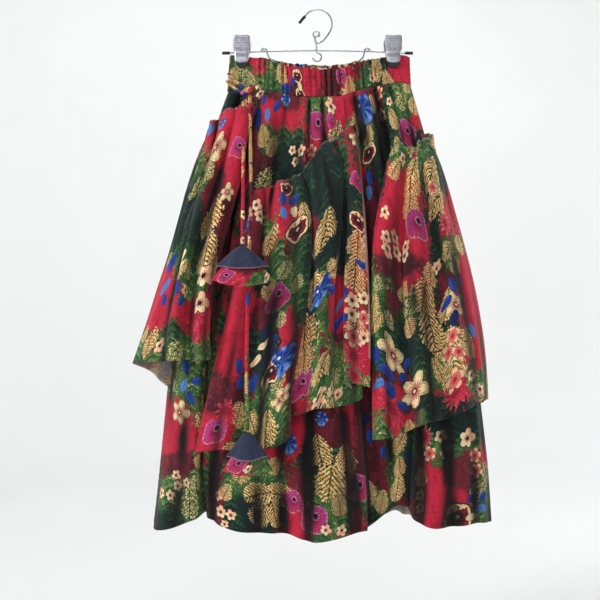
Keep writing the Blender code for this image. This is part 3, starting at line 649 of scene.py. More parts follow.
class Cloth:
    """A sheet of cloth as a grid of points in millimetres, rows down from its seam, seen from outside."""

    def __init__(self, rows, wall, fullness, closed=False):
        grid = rows * (1, -1, 1)
        self.closed = closed
        self.grid = grid + facing(grid, closed) * wall
        self.painted_shade = np.zeros(grid.shape[:2])
        self.measure(fullness)

    def measure(self, fullness):
        """Works out the cloth's own measures: across its cut, and down from its seam.

        Fullness is the cut's width over the gathered width, at the seam and at the hem."""
        steps = np.linalg.norm(np.diff(self.grid, axis=1), axis=2)
        along = np.concatenate([np.zeros((len(steps), 1)), np.cumsum(steps, axis=1)], axis=1)
        drops = np.linalg.norm(np.diff(self.grid, axis=0), axis=2)
        self.down = np.concatenate([np.zeros((1, drops.shape[1])), np.cumsum(drops, axis=0)], axis=0)
        self.length = float(self.down[-1].mean())
        self.seam = float(along[0, -1])
        self.hem = float(along[-1, -1])
        self.share = along / along[:, -1:]
        top, bottom = self.seam * fullness[0], self.hem * fullness[1]
        self.cut = max(top, bottom)
        self.across = (self.share - 0.5) * (top + (bottom - top) * self.down / self.length)
        self.area = 0.5 * (top + bottom) * self.length

    def push(self, height, deep=5.5):
        """Moves the cloth along its own facing by that height in millimetres, and notes its furrows.

        The painted shade that stands in for a furrow's shadow is darkest where the furrow is that deep below
        the ridges beside it.
        Where a furrow is so sharp that the cloth would cross itself, the height is eased first."""
        out = facing(self.grid, self.closed)
        steps = np.diff(self.grid, axis=1)
        ends = ((0, 0), (1, 1))
        for _ in range(EASINGS):
            moved = np.diff(self.grid + out * height[..., None], axis=1)
            crossed = (moved * steps).sum(axis=2) < LEAST_STEP * (steps**2).sum(axis=2)
            if not crossed.any():
                break
            crossed = np.pad(crossed, ends)
            near = crossed[:, :-1] | crossed[:, 1:]
            height = np.where(near, 0.8 * height, height)
            wide = np.pad(height, ends, mode="edge")
            near = np.max([np.roll(near, step, axis=1) for step in (-1, 0, 1)], axis=0)
            height = np.where(near, (wide[:, :-2] + 2 * height + wide[:, 2:]) / 4, height)
        top = np.max([np.roll(height, step, axis=1) for step in range(-6, 7)], axis=0)
        # Painted shade: how far each point lies below the highest cloth within six columns, as a share of
        # deep.
        self.painted_shade = np.clip((top - height) / deep, 0, 1) ** 1.3
        self.grid = self.grid + out * height[..., None]
        if self.closed:
            self.grid[:, -1] = self.grid[:, 0]

    def seen(self):
        """Where the points appear on the hanger's plane from the camera."""
        reach = -CAMERA_AT[1] / (self.grid[..., 1] - CAMERA_AT[1])
        x = CAMERA_AT[0] + (self.grid[..., 0] - CAMERA_AT[0]) * reach
        z = CAMERA_AT[2] + (self.grid[..., 2] - CAMERA_AT[2]) * reach
        return x, z

    def at(self, x, z):
        """The cloth's own measures where its frontmost layer is seen at x and z."""
        seen_x, seen_z = self.seen()
        away = np.hypot(seen_x - x, seen_z - z)
        near = away < 7
        rank = np.where(near, self.grid[..., 1] + 3 * away, 1e6 + away)
        spot = np.unravel_index(np.argmin(rank), rank.shape)
        return self.across[spot], self.down[spot]


def gathers(cloth, seed, pitch, depth, reach, spread=0.002):
    """Pleats from a seam, rounded on top and sharp between, each with its own place, depth and length."""
    draw = np.random.default_rng(seed)
    place = cloth.share * cloth.seam
    total = np.zeros_like(place)
    at = draw.uniform(0, pitch)
    while at < cloth.seam:
        half = pitch * draw.uniform(0.55, 0.85)
        lean = draw.uniform(-0.02, 0.02)
        long = reach * draw.uniform(0.5, 1.7)
        wide = half * (1 + spread * cloth.down)
        ridge = np.clip(1 - ((place - at - lean * cloth.down) / wide) ** 2, 0, 1) ** 0.6
        total = np.maximum(total, depth * draw.uniform(0.6, 1.2) * ridge * np.exp(-cloth.down / long))
        at += pitch * draw.uniform(0.6, 1.5)
    return total


def creases(cloth, table):
    """The creases of one table, each fading out at both its ends."""
    total = np.zeros_like(cloth.share)
    width = cloth.seam + (cloth.hem - cloth.seam) * cloth.down / cloth.length
    sunk = cloth.down / cloth.down[-1:]
    for across_from, down_from, across_to, down_to, half, depth in table:
        run = (sunk - down_from) / (down_to - down_from)
        line = across_from + (across_to - across_from) * run
        fade = np.clip(4 * run, 0, 1) * np.clip(4 * (1 - run), 0 if down_to < 1 else 1, 1)
        total += depth * np.exp(-(((cloth.share - line) * width / half) ** 2)) * np.where(run > 0, fade, 0)
    return total


def ripple(cloth, seed, size, depth):
    """A low unevenness all over, so that no stretch of cloth is ruled."""
    draw = np.random.default_rng(seed)
    total = np.zeros_like(cloth.share)
    for _ in range(7):
        turn = draw.uniform(-0.5, 0.5)
        long = size * draw.uniform(0.7, 1.8)
        wave = (cloth.across * math.cos(turn) + cloth.down * math.sin(turn)) / long
        total += np.sin(2 * math.pi * (wave + draw.uniform())) * depth / 7
    return total


# ---- the print, laid on the cloth ----
KINDS = ("none", "poppy", "lily", "pansy", "bell", "star", "fern", "blossom", "leaf")
LAYERS = {"back_motifs": ("fern",), "main_motifs": ("poppy", "lily", "pansy", "bell", "star"),
          "small_motifs": ("blossom", "leaf")}
#  kind, share of the scattered motifs, smallest and largest radius
SCATTER = (
    ("poppy", 0.07, 22, 29), ("lily", 0.07, 20, 29), ("pansy", 0.06, 16, 24), ("bell", 0.07, 16, 24),
    ("star", 0.05, 18, 28), ("fern", 0.26, 24, 40), ("blossom", 0.24, 10, 17), ("leaf", 0.18, 9, 15),
)
MOTIF_STEP, GROUND_STEP = 41, 66      # how far apart motifs and grounds are scattered, in millimetres
#  ground and its share of the scattered patches
GROUND_KINDS = {"crimson": 0.32, "maroon": 0.2, "green": 0.24, "dark": 0.2, "slate": 0.04}
GREENER = 0.16                        # how far the green grounds spread over the red ones


def scatter(cloth, seed, behind_only):
    """Motifs and grounds for cloth that the front view doesn't show, in the cloth's own measures."""
    draw = np.random.default_rng(seed)
    motifs, grounds = [], {kind: [] for kind in GROUND_KINDS}
    kinds = [row[0] for row in SCATTER]
    odds = np.array([row[1] for row in SCATTER])
    sizes = {row[0]: row[2:] for row in SCATTER}

    def free(across, down):
        spot = np.unravel_index(
            np.argmin(np.hypot(cloth.across - across, cloth.down - down)), cloth.share.shape)
        return not behind_only or cloth.grid[spot][1] > 0

    for step in (MOTIF_STEP, GROUND_STEP):
        for across in np.arange(cloth.across.min(), cloth.across.max(), step):
            for down in np.arange(0, cloth.down.max(), step):
                at = (across + draw.uniform(-0.4, 0.4) * step, down + draw.uniform(-0.4, 0.4) * step)
                kind = draw.choice(kinds, p=odds / odds.sum())
                ground = draw.choice(list(GROUND_KINDS), p=list(GROUND_KINDS.values()))
                numbers = draw.uniform(size=3)
                if not free(*at):
                    continue
                if step == MOTIF_STEP:
                    low, high = sizes[kind]
                    motifs.append((kind, *at, low + (high - low) * numbers[0], 360 * numbers[1], numbers[2]))
                else:
                    grounds[ground].append((*at, 30 + 26 * numbers[0], 34 + 40 * numbers[1]))
    return motifs, grounds


def ground_fields(across, down, grounds):
    """Three smooth fields of ground: red over green, crimson over maroon, and light over dark."""
    nearest = {kind: np.full(across.shape, 60.0) for kind in GROUND_KINDS}
    for kind, patches in grounds.items():
        for x, z, half_width, half_height in patches:
            size = math.sqrt(half_width * half_height)
            away = (np.hypot((across - x) / half_width, (down - z) / half_height) - 1) * size
            nearest[kind] = np.minimum(nearest[kind], away)
    dark = np.minimum(nearest["dark"], nearest["slate"])
    red = np.minimum(nearest["crimson"], nearest["maroon"])
    green = np.minimum(nearest["green"], dark)
    fields = (green - red, nearest["maroon"] - nearest["crimson"], dark - nearest["green"])
    shifts = (GREENER, 0, 0)
    return np.stack([np.clip(field / 20 - less, -2, 2) for field, less in zip(fields, shifts)], axis=-1)


def motif_layer(cloth, faces, motifs, kinds):
    """Each corner's place in the nearest motif of those kinds, in radii, and that motif's kind and tone."""
    across, down = cloth.across.reshape(-1)[faces], cloth.down.reshape(-1)[faces]
    middle = np.stack([across.mean(axis=1), down.mean(axis=1)], axis=-1)
    reach = np.hypot(np.ptp(across, axis=1), np.ptp(down, axis=1))
    found = np.zeros((*faces.shape, 3))
    found[..., :2] = 5
    best = np.full(len(faces), 9.0)
    for kind, x, z, radius, turn, tone in motifs:
        if kind not in kinds:
            continue
        away = np.hypot(middle[:, 0] - x, middle[:, 1] - z)
        mine = (away < radius * 1.1 + reach) & (away / radius < best)
        best[mine] = away[mine] / radius
        east, north = (across[mine] - x) / radius, (z - down[mine]) / radius
        cos, sin = math.cos(math.radians(turn)), math.sin(math.radians(turn))
        found[mine, :, 0] = east * cos + north * sin
        found[mine, :, 1] = north * cos - east * sin
        found[mine, :, 2] = KINDS.index(kind) + 0.05 + 0.9 * tone
    return found


def lay_print(cloth, name, seed, behind):
    """The motifs and the ground fields of one sheet. Behind is none, some or all of it."""
    motifs, fields = [], None
    if behind != "all":
        for kind, rows in MOTIFS[name].items():
            motifs += [(kind, *cloth.at(x, z), radius, turn, tone) for x, z, radius, turn, tone in rows]
        fields = ground_fields(*cloth.seen(), GROUNDS[name])
    if behind != "none":
        more, patches = scatter(cloth, seed, behind == "some")
        hidden = ground_fields(cloth.across, cloth.down, patches)
        if fields is None:
            fields = hidden
        else:
            turned = np.clip(cloth.grid[..., 1:2] / 20 + 0.5, 0, 0 if name == "waistband" else 1)
            fields = fields * (1 - turned) + hidden * turned
        motifs = motifs + more
    return motifs + undergrowth(cloth, fields, motifs, seed), fields


AREA_EACH = 900                       # square millimetres of cloth for each frond that is tried


def undergrowth(cloth, fields, motifs, seed):
    """More fronds, wherever the ground is green and nothing else grows."""
    draw = np.random.default_rng(seed + 500)
    taken = np.array([motif[1:4] for motif in motifs])
    across, down = cloth.across.ravel(), cloth.down.ravel()
    found = []
    for _ in range(int(cloth.area / AREA_EACH)):
        spot = draw.integers(len(across))
        size, turn, tone = draw.uniform(13, 24), draw.uniform(40, 140), draw.uniform(0.1, 1)
        x, z = across[spot], down[spot]
        red, _, light = fields.reshape(-1, 3)[spot]
        close = np.hypot(taken[:, 0] - x, taken[:, 1] - z) < taken[:, 2] * 0.75 + size * 0.55
        if close.any() or red > -0.3 or light < -0.3:
            continue
        found.append(("fern", x, z, size, turn, tone))
        taken = np.concatenate([taken, [(x, z, size)]])
    return found


def build_cloth(name, cloth, looks, print_of=None, seed=0, behind="none", skin=SKIN, turned=0.0):
    """A closed thin wall of cloth with its print on its corners. Looks are the outer and inner materials.

    Turned is how wide a strip along its right edge gets the reverse material, in millimetres; the cloth is
    not turned there."""
    rows, columns = cloth.grid.shape[:2]
    used = columns - 1 if cloth.closed else columns
    index = np.arange(rows * columns).reshape(rows, columns)
    quads = np.stack([index[:-1, :-1], index[1:, :-1], index[1:, 1:], index[:-1, 1:]], axis=-1)
    quads = quads.reshape(-1, 4)
    outer = cloth.grid
    inner = cloth.grid - facing(cloth.grid, cloth.closed) * skin
    count = rows * used

    def vertex(number, side):
        row, column = np.divmod(number, columns)
        return row * used + column % used + side * count

    edges = [(index[0, 1:], index[0, :-1]), (index[-1, :-1], index[-1, 1:])]
    if not cloth.closed:
        edges += [(index[:-1, 0], index[1:, 0]), (index[1:, -1], index[:-1, -1])]
    start = np.concatenate([a for a, _ in edges])
    end = np.concatenate([b for _, b in edges])
    flipped = quads[:, ::-1]
    rim = np.stack([vertex(start, 0), vertex(start, 1), vertex(end, 1), vertex(end, 0)], axis=-1)
    faces = np.concatenate([vertex(quads, 0), vertex(flipped, 1), rim])
    corners = np.concatenate([quads, flipped, np.stack([start, start, end, end], axis=-1)])
    points = np.concatenate([outer[:, :used].reshape(-1, 3), inner[:, :used].reshape(-1, 3)]) * MM

    data = bpy.data.meshes.new(name)
    data.from_pydata(points.tolist(), [], faces.tolist())
    data.shade_smooth()
    for look in looks:
        data.materials.append(look)
    sides = np.concatenate([np.zeros(len(quads)), np.ones(len(quads)), np.zeros(len(rim))])
    aside = (cloth.across[:, -1:] - cloth.across).reshape(-1)[quads].mean(axis=1)
    sunk = (cloth.down / cloth.length).reshape(-1)[quads].mean(axis=1)
    sides[:len(quads)][aside < turned * np.sin(math.pi * np.clip(sunk, 0, 1))] = 1
    data.polygons.foreach_set("material_index", sides.astype(np.int32))
    to_hem = cloth.down[-1:] - cloth.down
    own = np.stack([cloth.across, cloth.down, to_hem], axis=-1).reshape(-1, 3)
    layers = {"cloth": own[corners]}
    if print_of is not None:
        motifs, fields = lay_print(cloth, print_of, seed, behind)
        layers["ground"] = fields.reshape(-1, 3)[corners]
        for layer, kinds in LAYERS.items():
            layers[layer] = motif_layer(cloth, corners, motifs, kinds)
    # The furrows' painted shade, which stands in for their shadow, is stored on the corners for the printed
    # material.
    painted_shade_layer = data.attributes.new("painted_shade", "FLOAT", "CORNER")
    painted_shade_layer.data.foreach_set("value", cloth.painted_shade.ravel()[corners].astype(np.float32).ravel())
    for layer, values in layers.items():
        made = data.attributes.new(layer, "FLOAT_VECTOR", "CORNER")
        made.data.foreach_set("vector", values.astype(np.float32).ravel())
    piece = bpy.data.objects.new(name, data)
    bpy.context.scene.collection.objects.link(piece)
    return piece


# ---- node sums ----
def linear(colour):
    """A colour written as #RRGGBB, as the shader takes it."""
    parts = [int(colour[i: i + 2], 16) / 255 for i in (1, 3, 5)]
    return (*[p / 12.92 if p <= 0.04045 else ((p + 0.055) / 1.055) ** 2.4 for p in parts], 1.0)


class Term:
    """A number in a node tree. Arithmetic on it adds Math nodes."""

    def __init__(self, tree, socket):
        self.tree, self.socket = tree, socket

    def math(self, kind, *others):
        node = self.tree.nodes.new("ShaderNodeMath")
        node.operation = kind
        for slot, value in zip(node.inputs, (self, *others)):
            if isinstance(value, Term):
                self.tree.links.new(value.socket, slot)
            else:
                slot.default_value = value
        return Term(self.tree, node.outputs[0])

    def __add__(self, other):
        return self.math("ADD", other)

    def __sub__(self, other):
        return self.math("SUBTRACT", other)

    def __rsub__(self, other):
        return self.math("MULTIPLY", -1) + other

    def __mul__(self, other):
        return self.math("MULTIPLY", other)

    def __truediv__(self, other):
        return self.math("DIVIDE", other)

    def __pow__(self, other):
        return self.math("POWER", other)

    __radd__, __rmul__ = __add__, __mul__

    def under(self, edge):
        return self.math("LESS_THAN", edge)

    def over(self, edge):
        return self.math("GREATER_THAN", edge)

    def sin(self):
        return self.math("SINE")

    def cos(self):
        return self.math("COSINE")

    def abs(self):
        return self.math("ABSOLUTE")

    def root(self):
        return self.math("MAXIMUM", 0.0).math("SQRT")

    def fract(self):
        return self.math("FRACT")

    def ramp(self, low, high):
        """0 below low, 1 above high, and smooth between."""
        node = self.tree.nodes.new("ShaderNodeMapRange")
        node.interpolation_type = "SMOOTHSTEP"
        self.tree.links.new(self.socket, node.inputs["Value"])
        node.inputs["From Min"].default_value = low
        node.inputs["From Max"].default_value = high
        return Term(self.tree, node.outputs[0])


def attribute(tree, name):
    """The three numbers of a corner attribute."""
    node = tree.nodes.new("ShaderNodeAttribute")
    node.attribute_name = name
    split = tree.nodes.new("ShaderNodeSeparateXYZ")
    tree.links.new(node.outputs["Vector"], split.inputs[0])
    return [Term(tree, socket) for socket in split.outputs]


def noise(tree, across, down, across_size, down_size, detail=2.0, offset=0.0):
    """Noise between 0 and 1 with features of those sizes in millimetres."""
    join = tree.nodes.new("ShaderNodeCombineXYZ")
    for slot, value in zip(join.inputs, (across / across_size, down / down_size)):
        tree.links.new(value.socket, slot)
    join.inputs[2].default_value = offset
    node = tree.nodes.new("ShaderNodeTexNoise")
    node.inputs["Scale"].default_value = 1.0
    node.inputs["Detail"].default_value = detail
    tree.links.new(join.outputs[0], node.inputs["Vector"])
    return Term(tree, node.outputs["Fac"])


def mixed(tree, share, first, second):
    """First colour to second colour by share. A colour is a hex string or a socket."""
    node = tree.nodes.new("ShaderNodeMix")
    node.data_type = "RGBA"
    for place, value in ((0, share), (6, first), (7, second)):
        if isinstance(value, Term):
            tree.links.new(value.socket, node.inputs[place])
        elif isinstance(value, str):
            node.inputs[place].default_value = linear(value)
        elif isinstance(value, (int, float)):
            node.inputs[place].default_value = value
        else:
            tree.links.new(value, node.inputs[place])
    return node.outputs[2]


class Spot:
    """The place of a point in its motif, in radii, and the motif's kind and tone."""

    def __init__(self, tree, layer):
        self.tree = tree
        self.x, self.y, code = attribute(tree, layer)
        self.radius = (self.x * self.x + self.y * self.y).root()
        self.angle = self.y.math("ARCTAN2", self.x)
        self.kind = code.math("FLOOR")
        self.tone = code.fract()

    def noise(self, x, y):
        """Noise in the motif's own place, which moves on with its tone."""
        return noise(self.tree, x + self.tone * 31, y, 1.0, 1.0, 2.0)

    def of(self, kind):
        return self.kind.math("COMPARE", float(KINDS.index(kind)), 0.5)


def petals(spot, count, start=0.0):
    """Petals round the middle: how far along the nearest one, how far beside its line, and its number."""
    swing = (spot.angle + spot.tone * 3 + start) / (2 * math.pi / count)
    number = swing.math("ROUND")
    off = (swing - number) * (2 * math.pi / count)
    own = ((number * 1.7 + spot.tone * 5).sin() * 43.7).fract()
    return spot.radius * off.cos(), spot.radius * off.sin(), own


# Each painter gives layers from the bottom up: where the layer lies, and its colour.
def poppy(spot, grain):
    edge = 0.86 + 0.08 * (spot.angle * 4 + spot.tone * 9).sin() + 0.1 * grain
    out = spot.radius / edge
    streak = (spot.angle * 17 + grain * 9).sin() * 0.5 + 0.5
    eye = ((spot.x - 0.12) ** 2 + (spot.y - 0.18) ** 2).root()
    body = out.under(1)
    return [
        (body, MAGENTA),
        (body * (grain + spot.y * -0.5).ramp(0.35, 0.9), MAGENTA_DEEP),
        (body * streak.ramp(0.3, 1.0) * out.ramp(0.3, 0.8) * 0.5, PINK),
        (body * (out + grain * 0.5).ramp(1.12, 1.3) * 0.85, ROSE_WHITE),
        (body * (1 - out.ramp(0.16, 0.5)) * 0.8, THROAT),
        (body * out.ramp(0.93, 1.0) * 0.4, MAROON),
        (eye.under(0.17), EYE),
        (eye.ramp(0.16, 0.18) * eye.under(0.27) * streak.over(0.8), ROSE_WHITE),
    ]


def lily(spot, grain):
    along, side, own = petals(spot, 5)
    reach = 0.8 + 0.22 * own
    beside = side.abs() / ((along * (reach * 1.03 - along)).root() * 0.7 + 0.001)
    petal = beside.under(1) * spot.radius.under(reach)
    stroke = (beside * 8 + grain * 5).sin() * 0.5 + 0.5
    return [
        (petal, UMBER),
        (petal * beside.under(0.9), CREAM),
        (petal * beside.under(0.9) * (own + grain).over(1.1) * 0.8, GOLD_LIGHT),
        (petal * beside.under(0.9) * along.ramp(0.5, 0.95) * grain.over(0.5) * 0.8, GREEN_LIGHT),
        (petal * beside.under(0.9) * side.ramp(0.1, 0.34) * 0.35, COPPER),
        (petal * (1 - (along + stroke * 0.25).ramp(0.3, 0.62)) * 0.8, CRIMSON_DEEP),
        (petal * stroke.over(0.86) * along.under(0.7) * 0.7, MAROON),
        (spot.radius.under(0.19), THROAT),
        (spot.radius.under(0.08), GOLD_LIGHT),
    ]


def pansy(spot, grain):
    wave = spot.radius / (0.84 + 0.12 * (spot.angle * 2.5 + spot.tone * 6).sin().abs() + 0.1 * grain)
    return [
        (wave.under(1), GOLD_LIGHT),
        (wave.under(1) * (grain + spot.y * 0.4).over(0.55) * 0.8, CREAM),
        (wave.over(0.9) * wave.under(1), UMBER),
        (wave.under(0.72) * (spot.y + grain * 0.3).under(0.6), MAROON),
        (wave.under(0.44), MAROON_DEEP),
        (wave.under(0.8) * (spot.angle * 9 + grain * 6).sin().over(0.5) * wave.over(0.42), CRIMSON_DEEP),
        ((spot.x.abs() + (spot.y - 0.1).abs()).under(0.14), GOLD_LIGHT),
    ]


def bell(spot, grain):
    edge = 0.8 + 0.14 * (spot.angle * 2.5 + spot.tone * 5).sin().abs() + 0.08 * grain
    out = spot.radius / edge
    stripe = (spot.angle * 7 + grain * 5).sin() * 0.5 + 0.5
    glint = ((spot.x + 0.28) ** 2 + (spot.y - 0.32) ** 2).root()
    body = out.under(1)
    return [
        (body, BLUE),
        (body * (spot.y * -0.7 + stripe * 0.6).ramp(0.1, 0.9) * 0.85, BLUE_LIGHT),
        (body * out.under(0.6) * stripe.under(0.4) * 0.8, BLUE_DEEP),
        (body * out.ramp(0.6, 0.95) * stripe.over(0.6) * 0.7, BLUE_PALE),
        (body * out.over(0.93) * 0.7, BLUE_DEEP),
        (glint.under(0.1), GLINT),
    ]


def star(spot, grain):
    zig = ((spot.angle * (11 / (2 * math.pi)) + spot.tone + grain * 0.5).fract() - 0.5).abs() * 2
    edge = 0.42 + 0.5 * zig + 0.1 * (spot.angle * 2 + spot.tone * 7).sin()
    out = spot.radius / edge
    body = out.under(1)
    return [
        (body, CRIMSON),
        (body * (grain + out * 0.4).over(0.85), CORAL),
        (body * out.ramp(0.82, 0.95) * spot.tone.over(0.5), PEACH),
        (body * out.over(0.9) * spot.tone.under(0.5) * 0.7, MAROON_DEEP),
        (spot.radius.under(0.3) * grain.over(0.4), CRIMSON_DEEP),
        (body * (spot.angle * 11 + grain * 5).sin().over(0.8) * 0.7, MAROON),
    ]


def fern(spot, grain):
    """A frond with toothed leaflets on both sides of its stem, mottled gold, copper and green."""
    beside = spot.y.abs()
    mottle = spot.noise(spot.x * 5, spot.y * 6) - 0.5
    fine = spot.noise(spot.x * 13 + beside * 9, spot.y * 13) - 0.5
    leaflet = ((spot.x + beside * 0.95) * 4.6 + mottle * 1.2).fract()
    bow = (1 - spot.x * spot.x).root() * (0.66 - spot.x * 0.2) + mottle * 0.7
    frond = beside.under(bow) * spot.x.abs().under(1) * (leaflet + fine * 1.6).over(0.24)
    green = spot.tone.under(0.4)
    copper = spot.tone.over(0.85)
    return [
        (frond, UMBER),
        (frond * (leaflet + fine).over(0.36), GOLD),
        (frond * copper * mottle.over(-0.06), COPPER),
        (frond * green * mottle.over(-0.03), GREEN_LIGHT),
        (frond * (leaflet + mottle * 2 + fine).over(0.62) * (leaflet + fine * 2).under(0.95), GOLD_LIGHT),
        (frond * green * (fine - mottle).over(0.05), GREEN),
        (frond * beside.under(0.05) * fine.under(0.06), UMBER),
    ]


def blossom(spot, grain):
    along, side, own = petals(spot, 5)
    reach = 0.76 + 0.26 * own
    beside = side.abs() / ((along * (reach * 1.03 - along)).root() * 0.86 + 0.001)
    petal = beside.under(1) * spot.radius.under(reach)
    inner = petal * beside.under(0.84)
    streak = (side * 40 + grain * 4).sin()
    return [
        (petal, MAROON_DEEP),
        (inner, CREAM),
        (inner * (own + grain).over(1.05) * 0.8, PEACH),
        (inner * along.ramp(0.5, 0.9) * (own + grain).under(0.95) * 0.8, MILK),
        (inner * (1 - (along + grain * 0.3).ramp(0.36, 0.56)) * streak.over(-0.3), CRIMSON_DEEP),
        (spot.radius.under(0.2), MAROON_DEEP),
        (inner * spot.tone.over(0.65) * along.under(0.6) * 0.7, CRIMSON),
    ]


def leaf(spot, grain):
    oval = (spot.x ** 2 + (spot.y / (0.6 + 0.12 * spot.x)) ** 2).root() - grain * 0.12
    vein = ((spot.x + spot.y.abs() * 0.8) * 3.2).fract()
    inside = oval.under(0.92)
    line = (spot.y.abs().under(0.05) + vein.under(0.14)).math("MINIMUM", 1.0) * oval.under(0.8)
    blue = spot.tone.under(0.6)
    return [
        (inside, BLUE),
        (inside * (grain + spot.y * 0.4).ramp(0.45, 0.75) * 0.6, BLUE_MIDDLE),
        (inside * spot.tone.over(0.22) * spot.tone.under(0.44) * 0.85, BLUE_LIGHT),
        (inside * spot.tone.over(0.44) * blue, BLUE_DEEP),
        (inside * spot.tone.over(0.6) * spot.tone.under(0.8), GREEN),
        (inside * spot.tone.over(0.8), CREAM),
        (inside * line * 0.6 * blue, BLUE_DEEP),
        (inside * line * 0.5 * spot.tone.over(0.6), COPPER),
        (oval.ramp(0.76, 0.9) * inside * 0.6, BLUE_DEEP),
    ]


PAINTERS = {"poppy": poppy, "lily": lily, "pansy": pansy, "bell": bell, "star": star, "fern": fern,
            "blossom": blossom, "leaf": leaf}


def firs(across, down, width, height, ragged):
    """Rows of fir trees: how far inside a tree a point is, its bough's shade, and how far aside it is."""
    column = across / width
    number = column.math("FLOOR")
    row = down / height + ((number * 12.99).sin() * 437.5).fract()
    drop = row.fract()
    own = (((number + row.math("FLOOR") * 3.7) * 78.2).sin() * 437.5).fract()
    aside = column.fract() - 0.5 + (own - 0.5) * 0.3
    bough = (drop * 7 + own - aside.abs() * 1.6 + ragged * 0.5).fract()
    half = drop * (0.26 + 0.24 * bough)
    return half - aside.abs() + (ragged - 0.5) * 0.35, bough, aside


FIR_SIZE = (50.0, 96.0)               # the width and height that each tree has


def painted_ground(tree, across, down):
    """The crimson, maroon and green grounds, with firs and bushes along their borders."""
    red, bright, light = attribute(tree, "ground")
    ragged = noise(tree, across, down, 4.0, 11.0, 4.0) - 0.5
    cloud = noise(tree, across, down, 16.0, 30.0, 3.0, 7.0) - 0.5
    inside, bough, aside = firs(across, down, *FIR_SIZE, ragged + 0.5)
    left = noise(tree, across + down * 0.7, down - across * 0.7, 1.8, 6.0, 3.0, 11.0)
    right = noise(tree, across - down * 0.7, down + across * 0.7, 1.8, 6.0, 3.0, 15.0)
    needle = left + (right - left) * aside.over(0) - 0.5
    tall = inside.ramp(-0.05, 0.05)
    reeds = noise(tree, across, down, 14.0, 2.6, 3.0, 23.0) - 0.5
    reds = mixed(tree, (bright + cloud * 3 + ragged * 2).ramp(-0.5, 0.5), MAROON, CRIMSON)
    reds = mixed(tree, (cloud + ragged * 1.5 + reeds).ramp(0.0, 0.3) * 0.85, reds, CRIMSON_DEEP)
    reds = mixed(tree, tall * (bright * -1 + 1.0).ramp(-0.2, 1.4) * 0.75, reds, MAROON_DEEP)
    reds = mixed(tree, (reeds - bright * 0.05).ramp(0.12, 0.2) * 0.5, reds, MAROON)
    reds = mixed(tree, (ragged - cloud).ramp(0.14, 0.3) * 0.4, reds, SCARLET)
    shade = needle * 1.2 + tall * (bough - 0.5) * 0.36 + cloud * 0.7 + light * 0.08 + 0.03
    greens = mixed(tree, shade.ramp(-0.12, 0.14), DARK_GREEN, GREEN)
    greens = mixed(tree, shade.ramp(0.16, 0.36) * 0.8, greens, GREEN_LIGHT)
    greens = mixed(tree, (shade + reeds).ramp(0.42, 0.52) * 0.7, greens, GOLD_LIGHT)
    greens = mixed(tree, (shade * -1).ramp(0.02, 0.2), greens, SLATE)
    greens = mixed(tree, (1 - tall) * (light * -1).ramp(-0.2, 1.0) * 0.6, greens, SLATE)
    border = red - (tall - 0.5) * 0.7 + ragged * 5.5 + cloud * 3
    return mixed(tree, border.ramp(-0.08, 0.08), greens, reds)


def print_group():
    """The whole print as one node group, used by every cloth's material."""
    group = bpy.data.node_groups.new("forest_print", "ShaderNodeTree")
    group.interface.new_socket("Color", in_out="OUTPUT", socket_type="NodeSocketColor")
    across, down, _ = attribute(group, "cloth")
    colour = painted_ground(group, across, down)
    grain = noise(group, across, down, 3.2, 3.2, 2.0, 19.0)
    for layer, kinds in LAYERS.items():
        spot = Spot(group, layer)
        for kind in kinds:
            here = spot.of(kind)
            for where, tint in PAINTERS[kind](spot, grain):
                colour = mixed(group, where * here, colour, tint)
    out = group.nodes.new("NodeGroupOutput")
    group.links.new(colour, out.inputs[0])
    return group


def new_material(name, roughness):
    made = bpy.data.materials.new(name)
    made.use_nodes = True
    shader = made.node_tree.nodes["Principled BSDF"]
    shader.inputs["Roughness"].default_value = roughness
    return made, made.node_tree, shader


def bumped(tree, shader, height, distance):
    node = tree.nodes.new("ShaderNodeBump")
    node.inputs["Distance"].default_value = distance
    node.inputs["Strength"].default_value = 0.6
    tree.links.new(height.socket, node.inputs["Height"])
    tree.links.new(node.outputs["Normal"], shader.inputs["Normal"])


def weave(tree, across, down):
    """The height of a fine crumpled rayon, from its threads and its small wrinkles."""
    warp = noise(tree, across, down, 0.5, 1.6, 1.0, 2.0)
    weft = noise(tree, across, down, 1.6, 0.5, 1.0, 5.0)
    return warp * 0.35 + weft * 0.35 + noise(tree, across, down, 7.0, 30.0, 3.0, 9.0) * 2.2


def printed_cloth(name, group, washed):
    """The printed rayon, with painted shade darkening its furrows. Its reverse is the same print washed out.
    """
    made, tree, shader = new_material(name, 0.82)
    drawn = tree.nodes.new("ShaderNodeGroup")
    drawn.node_tree = group
    across, down, to_hem = attribute(tree, "cloth")
    furrow = tree.nodes.new("ShaderNodeAttribute")
    furrow.attribute_name = "painted_shade"
    worn = noise(tree, across, down, 40.0, 60.0, 3.0, 13.0).ramp(0.45, 0.85) * 0.12
    # Random wear and the painted shade of the furrows, which stands in for their shadow, both darken the
    # print towards SHADOW.
    dark = worn + Term(tree, furrow.outputs["Fac"]) * 0.95
    colour = mixed(tree, dark, drawn.outputs[0], SHADOW)
    stitch = (to_hem - HEM_TURN).abs().under(0.45) * (across / 2.6).fract().under(0.62)
    colour = mixed(tree, stitch * 0.5, colour, MAROON_DEEP)
    if washed:
        colour = mixed(tree, 0.62, colour, PALE_REVERSE)
    tree.links.new(colour, shader.inputs["Base Color"])
    shader.inputs["Sheen Weight"].default_value = 0.08
    shader.inputs["Specular IOR Level"].default_value = 0.25
    hem = to_hem.ramp(HEM_TURN - 0.6, HEM_TURN + 0.6) * -1.0
    bumped(tree, shader, weave(tree, across, down) + hem, 0.0005)
    return made


